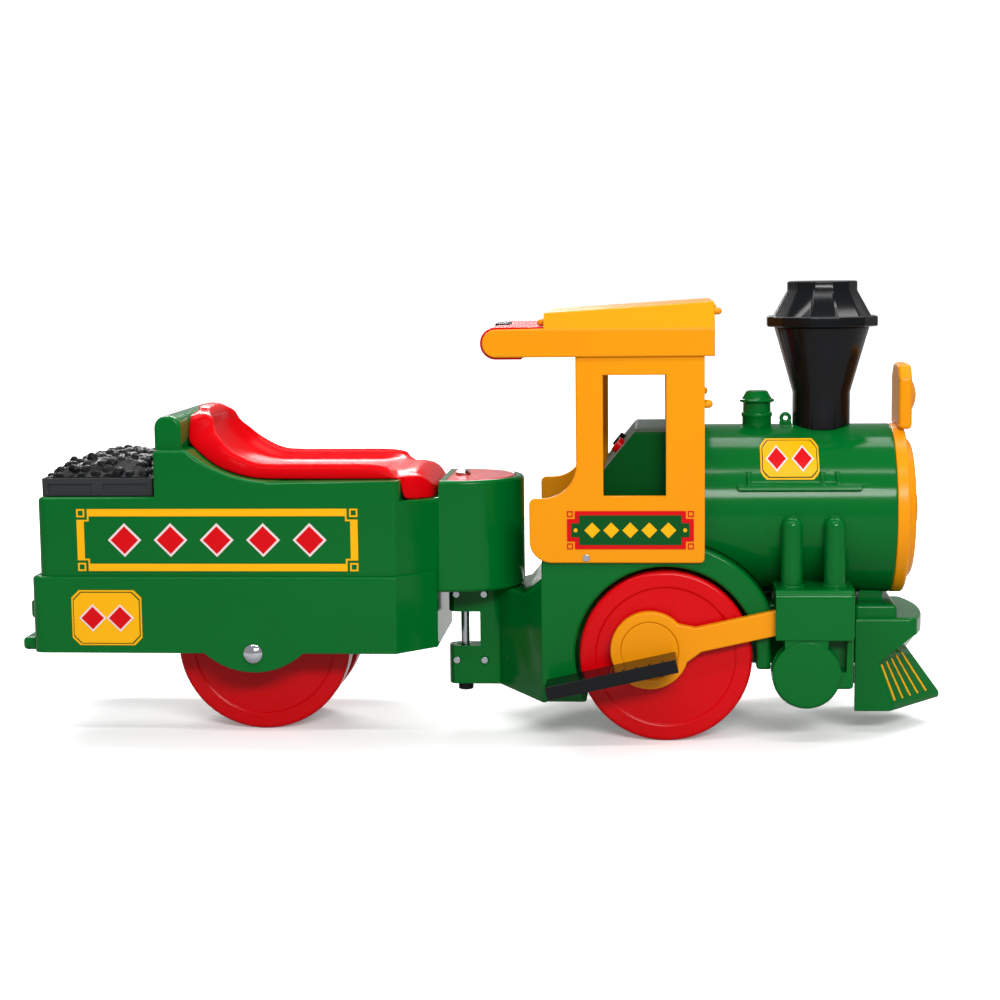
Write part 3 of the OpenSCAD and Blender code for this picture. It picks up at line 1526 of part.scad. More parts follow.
placed() coal_pile();
placed() battery();
placed() hinge_pin();
placed() pin_cap_top();
placed() pin_cap_bottom();
placed() rear_axle();
placed() rear_axle_caps();
placed() rear_axle_spacers();
placed() rear_wheel_right();
placed() rear_wheel_left();
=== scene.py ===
"""Looks of a ride-on steam train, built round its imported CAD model."""

import json
import math

import bmesh
import bpy
import numpy as np
from mathutils import Matrix, Vector
from mathutils.bvhtree import BVHTree


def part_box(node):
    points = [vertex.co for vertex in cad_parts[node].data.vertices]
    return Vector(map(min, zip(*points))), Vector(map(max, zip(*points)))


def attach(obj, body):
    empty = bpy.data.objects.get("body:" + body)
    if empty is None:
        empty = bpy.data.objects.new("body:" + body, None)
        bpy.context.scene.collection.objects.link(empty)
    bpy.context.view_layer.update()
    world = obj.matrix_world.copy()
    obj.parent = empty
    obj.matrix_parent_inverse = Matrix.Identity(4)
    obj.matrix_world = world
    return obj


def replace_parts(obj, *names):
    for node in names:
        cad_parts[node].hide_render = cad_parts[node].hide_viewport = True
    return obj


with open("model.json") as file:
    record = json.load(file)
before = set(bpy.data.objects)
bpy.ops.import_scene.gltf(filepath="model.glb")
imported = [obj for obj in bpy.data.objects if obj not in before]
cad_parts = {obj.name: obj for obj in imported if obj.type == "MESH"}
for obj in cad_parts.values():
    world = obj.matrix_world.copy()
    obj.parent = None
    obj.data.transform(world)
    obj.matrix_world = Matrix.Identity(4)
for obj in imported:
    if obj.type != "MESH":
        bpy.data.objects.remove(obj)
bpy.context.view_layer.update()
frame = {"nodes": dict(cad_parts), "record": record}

bl_info = {
    "name": "Ride-on steam train",
    "version": (1, 0, 0),
    "blender": (4, 5, 0),
    "location": "3D View > Sidebar > Train",
    "description": "Dresses the packed model of a ride-on steam train",
    "category": "Object",
}

MM = 0.001

# Corners nearer than this are one corner, and faces turned less than this are one face
WELD = 2e-6
FLAT = math.radians(0.5)
# Faces that turn more than this meet in a sharp line
SHARP = math.radians(35)

# Rounding: how far an edge looks outward for another face, and from what height it looks
SIGHT = 0.25
LOOK_FROM = 0.1 * MM
# First rounding: least turn of an edge in degrees, and steps across the rounding
EDGE_TURN = 28
EDGE_STEPS = 3
# Second rounding of what is still sharp: share of the first one's size, turn and steps
TIGHT_SHARE = 0.3
TIGHT_TURN = 40
TIGHT_STEPS = 2
# How near a clash edges are left sharp at each try, in sizes of the rounding
CLEAR_REACH = (0.6, 0.6, 0.6, 0.8, 1.2, 1.6, 2.4, 4)
# Least square of an edge's length, and sides of a turned piece
TINY = 1e-18
TURNED_SIDES = 72

# Seat: turns up to which its triangles are joined in fours, levels of smoothing, and the turn
# of its sharp lines
JOIN_TURN = math.radians(60)
JOIN_SHAPE = math.radians(70)
SEAT_LEVELS = 3
SEAT_SHARP = math.radians(60)
# How squarely its back's corners are pressed, and the hollow's edge in places of the rim
CORNER_POWER = 4
HOLLOW_EDGE = 4
# Cosines of no press and full press, and the lengths in which rim and hollow fade at the front
FACES_UP = (0.2, 0.6)
RIM_FADE = 4 * MM
HOLLOW_FADE = 30 * MM
# Shares of the half width and of the narrowing back over which the top corners drop
CORNER_ACROSS = (0.35, 1)
CORNER_UP = (0.4, 1)
# Shares of the narrowing back over which its skin is evened out, how strongly and how often
SOFT_UP = (0.35, 0.6)
SOFT_PULL = 0.5
SOFT_ROUNDS = 30

# Coal: least upward share of a face that holds lumps, the lumps' density, least and greatest
# scale along their three axes, and their distance from the tray's sides
UPWARD = 0.3
COAL = {"Spacing": 0.0125, "Lump": 0.0105, "Rise": -0.0045, "Seed": 7}
LUMP_DENSITY = 40000
LUMP_LEAST = (0.65, 0.55, 0.45)
LUMP_MOST = (1.25, 1.05, 0.8)
RIM_INSET = 0.004

# Plough: half its width, and the forward place, share of the half width and height of its
# face's corners, then the bars' shares of the face's width, their span of its height and width
PLOUGH_HALF = 0.077
PLOUGH_FACE = ((0.478, 1, 0.083), (0.520, 0, 0.090), (0.559, 0, 0.036), (0.494, 1, 0.036))
BAR_SHARES = (0.08, 0.24, 0.4, 0.56, 0.74)
BAR_SPAN = (0.05, 0.92)
BAR_WIDTH = 0.0024

# Markings: rise of each painted layer over the one below, and counts and sizes of the
# lozenges, white edge first
LAYER = 0.0005
PANEL_COUNT = 5
PANEL_LOZENGES = (0.0275, 0.0225)
PLATE_COUNT = 2
PLATE_LOZENGES = (0.0225, 0.0185)
CAB_LOZENGE = 0.0125
CAB_BORDER = 0.0048
CAB_LINE = 0.0012
DOT_RADIUS = 0.0022
DOT_SIDES = 16
LOZENGE_GAP = 0.0145
BOILER_LOZENGES = ((0.0125, 0.0135), (0.0102, 0.011))
TIP_SHARE = 0.02
# Insets in lines, in cut corners and in corner squares
LINE_STEP = 1.5
SMALL_CUT, DOT_INSET, CAB_INSET = 0.75, 1.1, 2
PANEL_INSET = 3

# Studio: half the floor's side, the distances over which the floor begins to glow, its least
# and greatest glow, and the wall's
FLOOR_HALF = 12
GLOW_REACH = (0.9, 3.2)
GLOW = (0.2, 1.02)
WALL_GLOW = 1.06
# What all but the camera see: the floor's tone and glow, and the wall's
FLOOR_RETURN = 0.35
GLOW_RETURN = 0.3 * FLOOR_RETURN
WALL_RETURN = 0.4
# Area lights: name, place, target, size and watts
LIGHTS = (("overhead", (0, 0.7, 2.65), (0, 0.65, 0), (4.0, 0.9), 84),
          ("front", (0.9, -2.9, 1.7), (0, 0, 0.25), (1.8, 0.5), 80),
          ("strip", (0.1, -1.3, 2.2), (0.1, 0, 0.3), (2.6, 0.18), 20),
          ("back", (-0.9, 2.9, 1.7), (0, 0, 0.25), (1.8, 0.5), 60))
SENSOR = 36
CLIP_END = 100


def mid(node, axis):
    """Middle of a CAD node along one axis."""
    low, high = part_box(node)
    return 0.5 * (low[axis] + high[axis])


# Every length along the train below is measured forward from the hinge pin
PIN_X = mid("hinge_pin", 0)
BOILER_R = 0.5 * (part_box("smokebox_front")[1][2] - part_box("smokebox_front")[0][2])
BOILER_Z = mid("smokebox_front", 2)
# The right side's painted planes: the tender's skirt, the tender above its ledge, and the cab
TENDER_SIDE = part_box("tender_body")[0][1]
UPPER_SIDE = -0.118
CAB_SIDE = -0.119
# The dome's radius and height shares, from its foot sunk in the boiler up to its flat top
DOME_PROFILE = (
    (0.84, -0.09), (0.84, 0.215), (0.88, 0.245), (0.905, 0.29), (0.88, 0.335), (0.80, 0.37),
    (0.79, 0.60), (0.80, 0.645), (0.95, 0.665), (1.0, 0.69), (1.0, 0.73), (0.95, 0.755),
    (0.86, 0.765), (0.62, 0.98), (0.57, 1.0))


def linear(red, green, blue):
    """Linear colour of an eight-bit display colour."""
    def one(v):
        v = v / 255
        return v / 12.92 if v <= 0.04045 else ((v + 0.055) / 1.055) ** 2.4
    return one(red), one(green), one(blue)


def colour(label, text, red, green, blue):
    """A colour setting, given as eight-bit display values."""
    return bpy.props.FloatVectorProperty(
        name=label, description=text, subtype="COLOR", size=3, min=0, max=1,
        default=linear(red, green, blue))


def length(label, text, value):
    """A length setting in metres."""
    return bpy.props.FloatProperty(
        name=label, description=text, default=value, unit="LENGTH", precision=4)


def degrees(label, text, value):
    """An angle setting, given in degrees."""
    return bpy.props.FloatProperty(
        name=label, description=text, default=math.radians(value), subtype="ANGLE")


class TrainColours(bpy.types.PropertyGroup):
    """Colours of the plastics, paints and metals"""
    green: colour("Green", "Body of the locomotive and tender", 0, 98, 34)
    green_deep: colour("Deep green", "Darker patches of the green plastic", 0, 90, 32)
    yellow: colour("Yellow", "Cab, roof, rods and smokebox front", 224, 142, 6)
    yellow_deep: colour("Deep yellow", "Darker patches of the yellow plastic", 220, 135, 5)
    red: colour("Red", "Wheels, seat, handle and nose cover", 200, 3, 12)
    red_deep: colour("Deep red", "Darker patches of the red plastic", 190, 2, 10)
    black: colour("Black", "Chimney, footrests and coal", 12, 14, 17)
    black_deep: colour("Deep black", "Darker patches of the black plastic", 8, 9, 11)
    gold: colour("Gold", "Painted frames and plates", 236, 170, 8)
    white: colour("White", "Outlines of the painted ornament", 226, 206, 206)
    steel: colour("Steel", "Axles, pins and screws", 186, 190, 196)
    nylon: colour("Nylon", "Gears", 230, 225, 210)
    brass: colour("Brass", "Motor pinion", 200, 160, 72)


class TrainEdges(bpy.types.PropertyGroup):
    """Rounding of the pieces' edges"""
    body: length("Body edges", "Rounding of the large mouldings' edges", 0.0045)
    panel: length("Panel edges", "Rounding of the cab's and roof's edges", 0.0020)
    fine: length("Fine edges", "Rounding of small fittings' edges", 0.0008)


class TrainMarkings(bpy.types.PropertyGroup):
    """Places and sizes of the painted markings"""
    lift: length("Lift", "How far the painted markings stand off their surface", 0.0003)
    thick: length("Thickness", "Thickness of the painted markings", 0.0004)
    panel_back: length("Panel back", "Rear end of the tender's framed panel", -0.4330)
    panel_front: length("Panel front", "Front end of the tender's framed panel", -0.1090)
    panel_low: length("Panel foot", "Lower edge of the tender's framed panel", 0.1955)
    panel_high: length("Panel head", "Upper edge of the tender's framed panel", 0.2670)
    plate_back: length("Plate back", "Rear end of the tender's plate", -0.4405)
    plate_front: length("Plate front", "Front end of the tender's plate", -0.3590)
    plate_low: length("Plate foot", "Lower edge of the tender's plate", 0.1105)
    plate_high: length("Plate head", "Upper edge of the tender's plate", 0.1743)
    band: length("Band", "Width of the tender panel's painted bands", 0.0085)
    corner: length("Corner square", "Size of the tender panel's hollow corner squares", 0.0095)
    line: length("Line", "Width of the thin painted lines", 0.0019)
    cut: length("Cut corner", "Size of the plates' cut corners", 0.0088)
    bar: length("Bar height", "How far the plough's bars stand out of its faces", 0.0012)
    cab_back: length("Cab panel back", "Rear end of the cab's panel", 0.1276)
    cab_front: length("Cab panel front", "Front end of the cab's panel", 0.2690)
    cab_low: length("Cab panel foot", "Lower edge of the cab's panel", 0.2210)
    cab_high: length("Cab panel head", "Upper edge of the cab's panel", 0.2640)
    boiler_back: length("Boiler plate back", "Rear end of the boiler's plate", 0.3444)
    boiler_front: length("Boiler plate front", "Front end of the boiler's plate", 0.4100)
    boiler_low: length("Boiler plate foot", "Lower edge of the boiler's plate", 0.2952)
    boiler_high: length("Boiler plate head", "Upper edge of the boiler's plate", 0.3379)


class TrainSeat(bpy.types.PropertyGroup):
    """Shape of the seat's skin"""
    half: length("Half width", "Half the width of the seat", 0.100)
    toe: length("Rim end", "Front end of the seat's rims", -0.074)
    dish_x: length("Dish centre", "Place of the centre that the back's dish is struck from", -0.222)
    dish_z: length("Dish height", "Height of the centre that the back's dish is struck from", 0.382)
    dish_r: length("Dish radius", "Radius of the back's dish", 0.077)
    rim: length("Rim", "Height of the rolled rim round the seat", 0.0030)
    rim_in: length("Rim place", "Distance of the rim's ridge from the seat's edge", 0.009)
    rim_half: length("Rim half width", "Half the width of the rolled rim", 0.009)
    hollow: length("Hollow", "Depth of the dish inside the rim", 0.0035)
    shoulder: length("Shoulder", "Drop of the back's top corners", 0.010)
    crest: bpy.props.FloatProperty(
        name="Crest", description="Share of its width that the back keeps at its top",
        default=0.74, subtype="FACTOR", min=0.5, max=1)
    crest_turn: degrees("Crest turn", "Angle round the dish at the back's top edge", 84)
    bend_turn: degrees("Bend turn", "Angle round the dish where the back narrows", 30)


class TrainStage(bpy.types.PropertyGroup):
    """Place and lens of the camera"""
    focal: bpy.props.FloatProperty(
        name="Lens", description="Focal length on a 36 mm sensor, in mm", default=70.78)
    camera_x: length("Camera forward", "Camera's place along the train", 0.22855)
    camera_y: length("Camera aside", "Camera's distance from the centre plane", -2.3)
    camera_z: length("Camera height", "Camera's height above the floor", 0.5395)
    yaw: degrees("Yaw", "Turn of the camera to the rear", 4.61)
    pitch: degrees("Pitch", "Tilt of the camera downwards", 6.85)
    roll: degrees("Roll", "Roll of the camera", -0.65)


def marks():
    """Settings of the painted markings."""
    return bpy.context.scene.train_markings


# Shader groups and materials
def new_group(name, tree_type, inputs, outputs):
    """An empty node group with the given sockets."""
    tree = bpy.data.node_groups.new(name, tree_type)
    for label, kind, value in inputs:
        socket = tree.interface.new_socket(label, in_out="INPUT", socket_type="NodeSocket" + kind)
        if value is not None:
            socket.default_value = value
    for label, kind in outputs:
        tree.interface.new_socket(label, in_out="OUTPUT", socket_type="NodeSocket" + kind)
    return tree, tree.nodes.new("NodeGroupInput"), tree.nodes.new("NodeGroupOutput")


def wire(tree, *links):
    """Join outputs to inputs, each given as a node, its output, a node and its input."""
    for source, output, target, entry in links:
        tree.links.new(source.outputs[output], target.inputs[entry])


def moulded_tone():
    """Cloudy tone, uneven gloss and a fine moulded grain, shared by all the plastics."""
    found = bpy.data.node_groups.get("moulded_tone")
    if found:
        return found
    tree, given, out = new_group(
        "moulded_tone", "ShaderNodeTree",
        [("Tone", "Color", None), ("Deep Tone", "Color", None), ("Patch Scale", "Float", 7),
         ("Grain Scale", "Float", 900), ("Gloss Low", "Float", 0.2), ("Gloss High", "Float", 0.3)],
        [("Colour", "Color"), ("Roughness", "Float"), ("Height", "Float")])
    place = tree.nodes.new("ShaderNodeTexCoord")
    cloud = tree.nodes.new("ShaderNodeTexNoise")
    cloud.inputs["Detail"].default_value = 4
    grain = tree.nodes.new("ShaderNodeTexNoise")
    grain.inputs["Detail"].default_value = 2
    tone = tree.nodes.new("ShaderNodeMix")
    tone.data_type = "RGBA"
    gloss = tree.nodes.new("ShaderNodeMapRange")
    for texture, scale in ((cloud, "Patch Scale"), (grain, "Grain Scale")):
        wire(tree, (place, "Object", texture, "Vector"), (given, scale, texture, "Scale"))
    wire(tree, (cloud, "Fac", tone, "Factor"), (given, "Tone", tone, "A"),
         (given, "Deep Tone", tone, "B"), (cloud, "Fac", gloss, "Value"),
         (given, "Gloss Low", gloss, "To Min"), (given, "Gloss High", gloss, "To Max"),
         (tone, "Result", out, "Colour"), (gloss, "Result", out, "Roughness"),
         (grain, "Fac", out, "Height"))
    return tree


def material(name, tone, deep, gloss, grain=0.02, metallic=0.0, patch=7.0, shine=0.14):
    """A moulded or plated finish, made once under its name."""
    found = bpy.data.materials.get(name)
    if found:
        return found
    made = bpy.data.materials.new(name)
    made.use_nodes = True
    tree = made.node_tree
    shader = tree.nodes["Principled BSDF"]
    skin = tree.nodes.new("ShaderNodeGroup")
    skin.node_tree = moulded_tone()
    skin.inputs["Tone"].default_value = (*tone, 1)
    skin.inputs["Deep Tone"].default_value = (*deep, 1)
    skin.inputs["Patch Scale"].default_value = patch
    skin.inputs["Gloss Low"].default_value, skin.inputs["Gloss High"].default_value = gloss
    bump = tree.nodes.new("ShaderNodeBump")
    bump.inputs["Strength"].default_value = grain
    bump.inputs["Distance"].default_value = MM
    shader.inputs["Metallic"].default_value = metallic
    shader.inputs["Specular IOR Level"].default_value = shine
    wire(tree, (skin, "Colour", shader, "Base Color"), (skin, "Roughness", shader, "Roughness"),
         (skin, "Height", bump, "Height"), (bump, "Normal", shader, "Normal"))
    return made


# Each finish: its tone and deep tone as shares of a colour, its range of gloss, and what else
# sets it apart from the usual plastic
FINISHES = {
    "moulded_green": (("green", 1), ("green_deep", 1), (0.1, 0.17), {"grain": 0.01}),
    "moulded_yellow": (("yellow", 1), ("yellow_deep", 1), (0.2, 0.3), {}),
    "moulded_red": (("red", 1), ("red_deep", 1), (0.16, 0.26), {}),
    "moulded_seat": (("red", 1), ("red_deep", 1), (0.2, 0.28), {"shine": 0.04}),
    # The dashboard's darker copy of the green is painted shade, standing in for the shadow inside
    # the cab
    "moulded_dash": (("green", 0.45), ("green", 0.35), (0.3, 0.4), {"shine": 0.05}),
    "moulded_black": (("black", 1), ("black_deep", 1), (0.14, 0.24), {"grain": 0.03, "shine": 0.2}),
    # The tray is dark plastic, but its tone is raised well above the black's as a painted
    # reflection, standing in for the sheen of its glossy surface
    "moulded_tray": (("steel", 0.075), ("steel", 0.05), (0.16, 0.26), {"grain": 0.03}),
    "moulded_dark": (("steel", 0.06), ("steel", 0.04), (0.5, 0.6), {}),
    "moulded_coal": (("steel", 0.02), ("black_deep", 1), (0.3, 0.5),
                     {"grain": 0.2, "patch": 60, "shine": 0.1}),
    "zinc_steel": (("steel", 1), ("steel", 0.85), (0.2, 0.32), {"metallic": 1.0}),
    "bright_chrome": (("steel", 1.3), ("steel", 1), (0.04, 0.08), {"grain": 0, "metallic": 1.0}),
    "natural_nylon": (("nylon", 1), ("nylon", 0.9), (0.45, 0.55), {}),
    "cut_brass": (("brass", 1), ("brass", 0.85), (0.25, 0.35), {"metallic": 1.0}),
    "gold_paint": (("gold", 1), ("gold", 0.92), (0.3, 0.4), {"grain": 0.01}),
    "red_paint": (("red", 1.05), ("red_deep", 1), (0.3, 0.4), {"grain": 0.01}),
    "white_paint": (("white", 1), ("white", 0.94), (0.3, 0.4), {"grain": 0.01}),
    "green_paint": (("green", 0.55), ("green", 0.5), (0.28, 0.36), {"grain": 0.01}),
}


def look(name):
    """One of the train's finishes."""
    *shades, gloss, rest = FINISHES[name]
    tones = bpy.context.scene.train_colours
    tone, deep = ([v * share for v in getattr(tones, shade)] for shade, share in shades)
    return material(name, tone, deep, gloss, **rest)


# Pieces
def ease(value, low, high):
    """Smooth rise from 0 to 1 between two values."""
    share = np.clip((value - low) / (high - low), 0, 1)
    return share * share * (3 - 2 * share)


def new_object(name, data):
    """An object put in the scene."""
    made = bpy.data.objects.new(name, data)
    bpy.context.scene.collection.objects.link(made)
    return made


def new_piece(name, bm, finish, sharp=SHARP):
    """A mesh object from a bmesh, shaded smooth up to a turn."""
    mesh = bpy.data.meshes.new(name)
    bm.to_mesh(mesh)
    bm.free()
    mesh.materials.append(look(finish))
    mesh.shade_smooth()
    mesh.set_sharp_from_angle(angle=sharp)
    return new_object(name, mesh)


def body_of(node):
    """Body that a CAD node belongs to."""
    return next(b for b, nodes in frame["record"]["behaviour"]["bodies"].items() if node in nodes)


def welded(node):
    """The CAD node's surface with its corners joined and its flat faces made whole."""
    bm = bmesh.new()
    bm.from_mesh(frame["nodes"][node].data)
    bmesh.ops.remove_doubles(bm, verts=bm.verts, dist=WELD)
    bmesh.ops.dissolve_limit(bm, angle_limit=FLAT, verts=bm.verts, edges=bm.edges)
    return bm


def go_with(piece, node):
    """Give a piece the body of a CAD node."""
    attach(piece, body_of(node))
    return piece


def stand_for(piece, node):
    """Show a piece in place of a CAD node."""
    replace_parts(go_with(piece, node), node)
    return piece


def outer_edges(bm, angle):
    """Indices of the outward edges sharper than an angle that no other face looks down on."""
    tree = BVHTree.FromBMesh(bm)
    found = []
    for edge in bm.edges:
        if edge.is_manifold and edge.calc_face_angle_signed(0) > angle:
            out = (edge.link_faces[0].normal + edge.link_faces[1].normal).normalized()
            start = 0.5 * (edge.verts[0].co + edge.verts[1].co) + out * LOOK_FROM
            if tree.ray_cast(start, out, SIGHT)[0] is None:
                found.append(edge.index)
    return found


def clash_points(bm):
    """Points where faces of a mesh run through each other."""
    flat = bm.copy()
    bmesh.ops.triangulate(flat, faces=flat.faces)
    flat.faces.ensure_lookup_table()
    tree = BVHTree.FromBMesh(flat)
    points = []
    for one, two in tree.overlap(tree):
        pair = flat.faces[one], flat.faces[two]
        if one < two and not set(pair[0].verts) & set(pair[1].verts):
            small = min(pair, key=lambda face: face.calc_area())
            points += [small.calc_center_median()[:], *(v.co[:] for v in small.verts)]
    flat.free()
    return points


def clear_of(lines, points, reach):
    """Indices of the edges that pass no point within a reach."""
    start = np.array([e.verts[0].co[:] for e in lines])
    along = np.array([e.verts[1].co[:] for e in lines]) - start
    size = np.maximum((along ** 2).sum(1), TINY)
    clear = np.ones(len(lines), bool)
    for point in np.array(points):
        share = np.clip(((point - start) * along).sum(1) / size, 0, 1)
        clear &= np.linalg.norm(point - start - along * share[:, None], axis=1) > reach
    return [e.index for e, good in zip(lines, clear) if good]


def rounded(bm, offset, angle, steps):
    """A copy with its outer edges rounded, leaving out those whose rounding would clash."""
    bm.edges.index_update()
    bm.edges.ensure_lookup_table()
    chosen = outer_edges(bm, angle)
    for reach in CLEAR_REACH:
        trial = bm.copy()
        trial.edges.ensure_lookup_table()
        bmesh.ops.bevel(
            trial, geom=[trial.edges[i] for i in chosen], offset=offset, offset_type="OFFSET",
            segments=steps, profile=0.5, affect="EDGES", clamp_overlap=False)
        points = clash_points(trial)
        if not points:
            bm.free()
            return trial
        trial.free()
        chosen = clear_of([bm.edges[i] for i in chosen], points, reach * offset)
        if not chosen:
            break
    return bm


def dress(node, finish, edge, share=1, angle=EDGE_TURN):
    """A copy of a CAD node with its outer edges rounded, the tight ones less."""
    size = share * getattr(bpy.context.scene.train_edges, edge)
    bm = rounded(welded(node), size, math.radians(angle), EDGE_STEPS)
    bm = rounded(bm, TIGHT_SHARE * size, math.radians(TIGHT_TURN), TIGHT_STEPS)
    piece = new_piece(node + "_skin", bm, finish)
    harden = piece.modifiers.new("even_shading", "WEIGHTED_NORMAL")
    harden.keep_sharp = True
    return stand_for(piece, node)


def turned(node, profile, foot, finish):
    """A piece turned about a node's upright axis, by shares of its radius and of its height."""
    low, high = (Vector(corner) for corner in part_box(node))
    centre, radius = 0.5 * (low + high), 0.5 * (high.x - low.x)
    sides = TURNED_SIDES
    turns = [2 * math.pi * i / sides for i in range(sides)]
    bm = bmesh.new()
    rings = []
    for across, up in profile:
        r, level = across * radius, foot + up * (high.z - foot)
        rings.append([
            bm.verts.new((centre.x + r * math.cos(turn), centre.y + r * math.sin(turn), level))
            for turn in turns])
    for under, over in zip(rings, rings[1:]):
        for i in range(sides):
            k = (i + 1) % sides
            bm.faces.new((under[i], under[k], over[k], over[i]))
    bm.faces.new(rings[0][::-1])
    bm.faces.new(rings[-1])
    return stand_for(new_piece(node + "_skin", bm, finish), node)


def paint(node, finish):
    """A CAD node shown as it is, with its finish."""
    mesh = frame["nodes"][node].data
    mesh.materials.clear()
    mesh.materials.append(look(finish))


def add_prism(bm, points, y, depth):
    """A flat plate in X and Z on the right side, from y out by depth."""
    near = [bm.verts.new((PIN_X + x, y - depth, z)) for x, z in points]
    far = [bm.verts.new((PIN_X + x, y, z)) for x, z in points]
    faces = [bm.faces.new(near), bm.faces.new(far[::-1])]
    for i in range(len(points)):
        k = (i + 1) % len(points)
        faces.append(bm.faces.new((near[k], near[i], far[i], far[k])))
    bmesh.ops.recalc_face_normals(bm, faces=faces)


def rectangle(x0, z0, x1, z1):
    """Corners of a rectangle in X and Z."""
    return [(x0, z0), (x1, z0), (x1, z1), (x0, z1)]


def marking(name, shapes, y, finish, node, rise=0.0):
    """Painted shapes on one plane of a node."""
    bm = bmesh.new()
    for points in shapes:
        add_prism(bm, points, y - marks().lift - rise, marks().thick)
    return go_with(new_piece(name, bm, finish), node)


def cut_plate(x0, z0, x1, z1, cut):
    """Outline of a plate with its corners cut off."""
    return [(x0 + cut, z0), (x1 - cut, z0), (x1, z0 + cut), (x1, z1 - cut),
            (x1 - cut, z1), (x0 + cut, z1), (x0, z1 - cut), (x0, z0 + cut)]


def notched_bars(x0, z0, x1, z1, notch):
    """A panel with square notches at its corners, as three rectangles."""
    return [rectangle(x0 + notch, z0, x1 - notch, z1),
            rectangle(x0, z0 + notch, x0 + notch, z1 - notch),
            rectangle(x1 - notch, z0 + notch, x1, z1 - notch)]


def hollow_square(x, z, size, line):
    """The four sides of a small square, given its lower rear corner."""
    return [rectangle(x, z, x + size, z + line), rectangle(x, z + size - line, x + size, z + size),
            rectangle(x, z + line, x + line, z + size - line),
            rectangle(x + size - line, z + line, x + size, z + size - line)]


def corner_squares(x0, z0, x1, z1, size, line):
    """A hollow square in each corner of a panel."""
    return [side for x in (x0, x1 - size) for z in (z0, z1 - size)
            for side in hollow_square(x, z, size, line)]


def stepped_corners(x0, z0, x1, z1, band, step, line):
    """Thin lines that step round the inside of each corner of a framed panel."""
    bars = []
    for x, out in ((x0, 1), (x1, -1)):
        for z, up in ((z0, 1), (z1, -1)):
            across = sorted((x + out * band, x + out * (step + line)))
            along = sorted((x + out * step, x + out * (step + line)))
            level = sorted((z + up * step, z + up * (step + line)))
            climb = sorted((z + up * band, z + up * step))
            bars += [rectangle(across[0], level[0], across[1], level[1]),
                     rectangle(along[0], climb[0], along[1], climb[1])]
    return bars


def bent_plate(name, rows, rise, finish):
    """A plate laid on the right side of the boiler, from rows of height, rear end and front end."""
    bm = bmesh.new()
    low = BOILER_R + marks().lift + rise
    high = low + marks().thick
    rings = []
    for z, x0, x1 in rows:
        ring = []
        lean = math.asin((z - BOILER_Z) / BOILER_R)
        for r, x in ((low, x0), (high, x0), (high, x1), (low, x1)):
            ring.append(bm.verts.new(
                (PIN_X + x, -r * math.cos(lean), BOILER_Z + r * math.sin(lean))))
        rings.append(ring)
    for one, two in zip(rings, rings[1:]):
        for i in range(4):
            k = (i + 1) % 4
            bm.faces.new((one[i], one[k], two[k], two[i]))
    bm.faces.new(rings[0][::-1])
    bm.faces.new(rings[-1])
    bmesh.ops.recalc_face_normals(bm, faces=bm.faces)
    return go_with(new_piece(name, bm, finish), "boiler")


def cut_rows(x0, z0, x1, z1, cut, count=10):
    """Rows of a plate with cut corners."""
    rows = []
    for i in range(count + 1):
        z = z0 + (z1 - z0) * i / count
        short = max(0, cut - min(z - z0, z1 - z))
        rows.append((z, x0 + short, x1 - short))
    return rows


def lozenge_rows(x, z, wide, high, count=8):
    """Rows of a lozenge, blunt at its two tips."""
    rows = []
    for i in range(count + 1):
        t = 2 * i / count - 1
        half = max(wide * (1 - abs(t)), TIP_SHARE * wide)
        rows.append((z + high * t, x - half, x + half))
    return rows


def face_bars(name, corners, shares, span, width, finish, node):
    """Bars let into a four-cornered face, at shares of its width."""
    bm = bmesh.new()
    top0, top1, foot1, foot0 = (Vector(c) for c in corners)
    out = (top1 - top0).cross(foot0 - top0).normalized()
    if out.x < 0:
        out.negate()
    for share in shares:
        head, foot = top0.lerp(top1, share), foot0.lerp(foot1, share)
        head, foot = head.lerp(foot, span[0]), head.lerp(foot, span[1])
        side = out.cross(foot - head).normalized() * width * 0.5
        base = [head - side, head + side, foot + side, foot - side]
        low = [bm.verts.new(p - out * marks().bar) for p in base]
        high = [bm.verts.new(p + out * marks().bar) for p in base]
        bm.faces.new(low)
        bm.faces.new(high)
        for i in range(4):
            k = (i + 1) % 4
            bm.faces.new((low[i], low[k], high[k], high[i]))
    bmesh.ops.recalc_face_normals(bm, faces=bm.faces)
    return go_with(new_piece(name, bm, finish), node)


def lozenge_row(name, x0, x1, z, count, size, y, rise, finish, node):
    """A row of turned squares on one plane of the right side."""
    step = (x1 - x0) / count
    depth = y - marks().lift - rise - 0.5 * marks().thick
    piece = grow(name, row_tree(), {
        "Count": count, "Start": (PIN_X + x0 + 0.5 * step, depth, z), "Step": (step, 0, 0),
        "Turn": (0, math.pi / 4, 0), "Size": (size, marks().thick, size), "Finish": look(finish)})
    return go_with(piece, node)


# Geometry node trees
def grow(name, tree, values, source=None):
    """The plain mesh that a geometry tree makes, as an object."""
    seed = new_object(name + "_seed", source or bpy.data.meshes.new(name + "_seed"))
    grower = seed.modifiers.new("grow", "NODES")
    grower.node_group = tree
    for item in tree.interface.items_tree:
        if item.in_out == "INPUT" and item.name in values:
            grower[item.identifier] = values[item.name]
    ready = seed.evaluated_get(bpy.context.evaluated_depsgraph_get())
    made = bpy.data.meshes.new_from_object(ready)
    seed.modifiers.remove(grower)
    bpy.data.objects.remove(seed)
    made.name = name
    return new_object(name, made)


def keep_inside(piece, node, inset):
    """Hold a piece's points within a node's four sides."""
    low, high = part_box(node)
    for point in piece.data.vertices:
        for axis in (0, 1):
            point.co[axis] = min(max(point.co[axis], low[axis] + inset), high[axis] - inset)


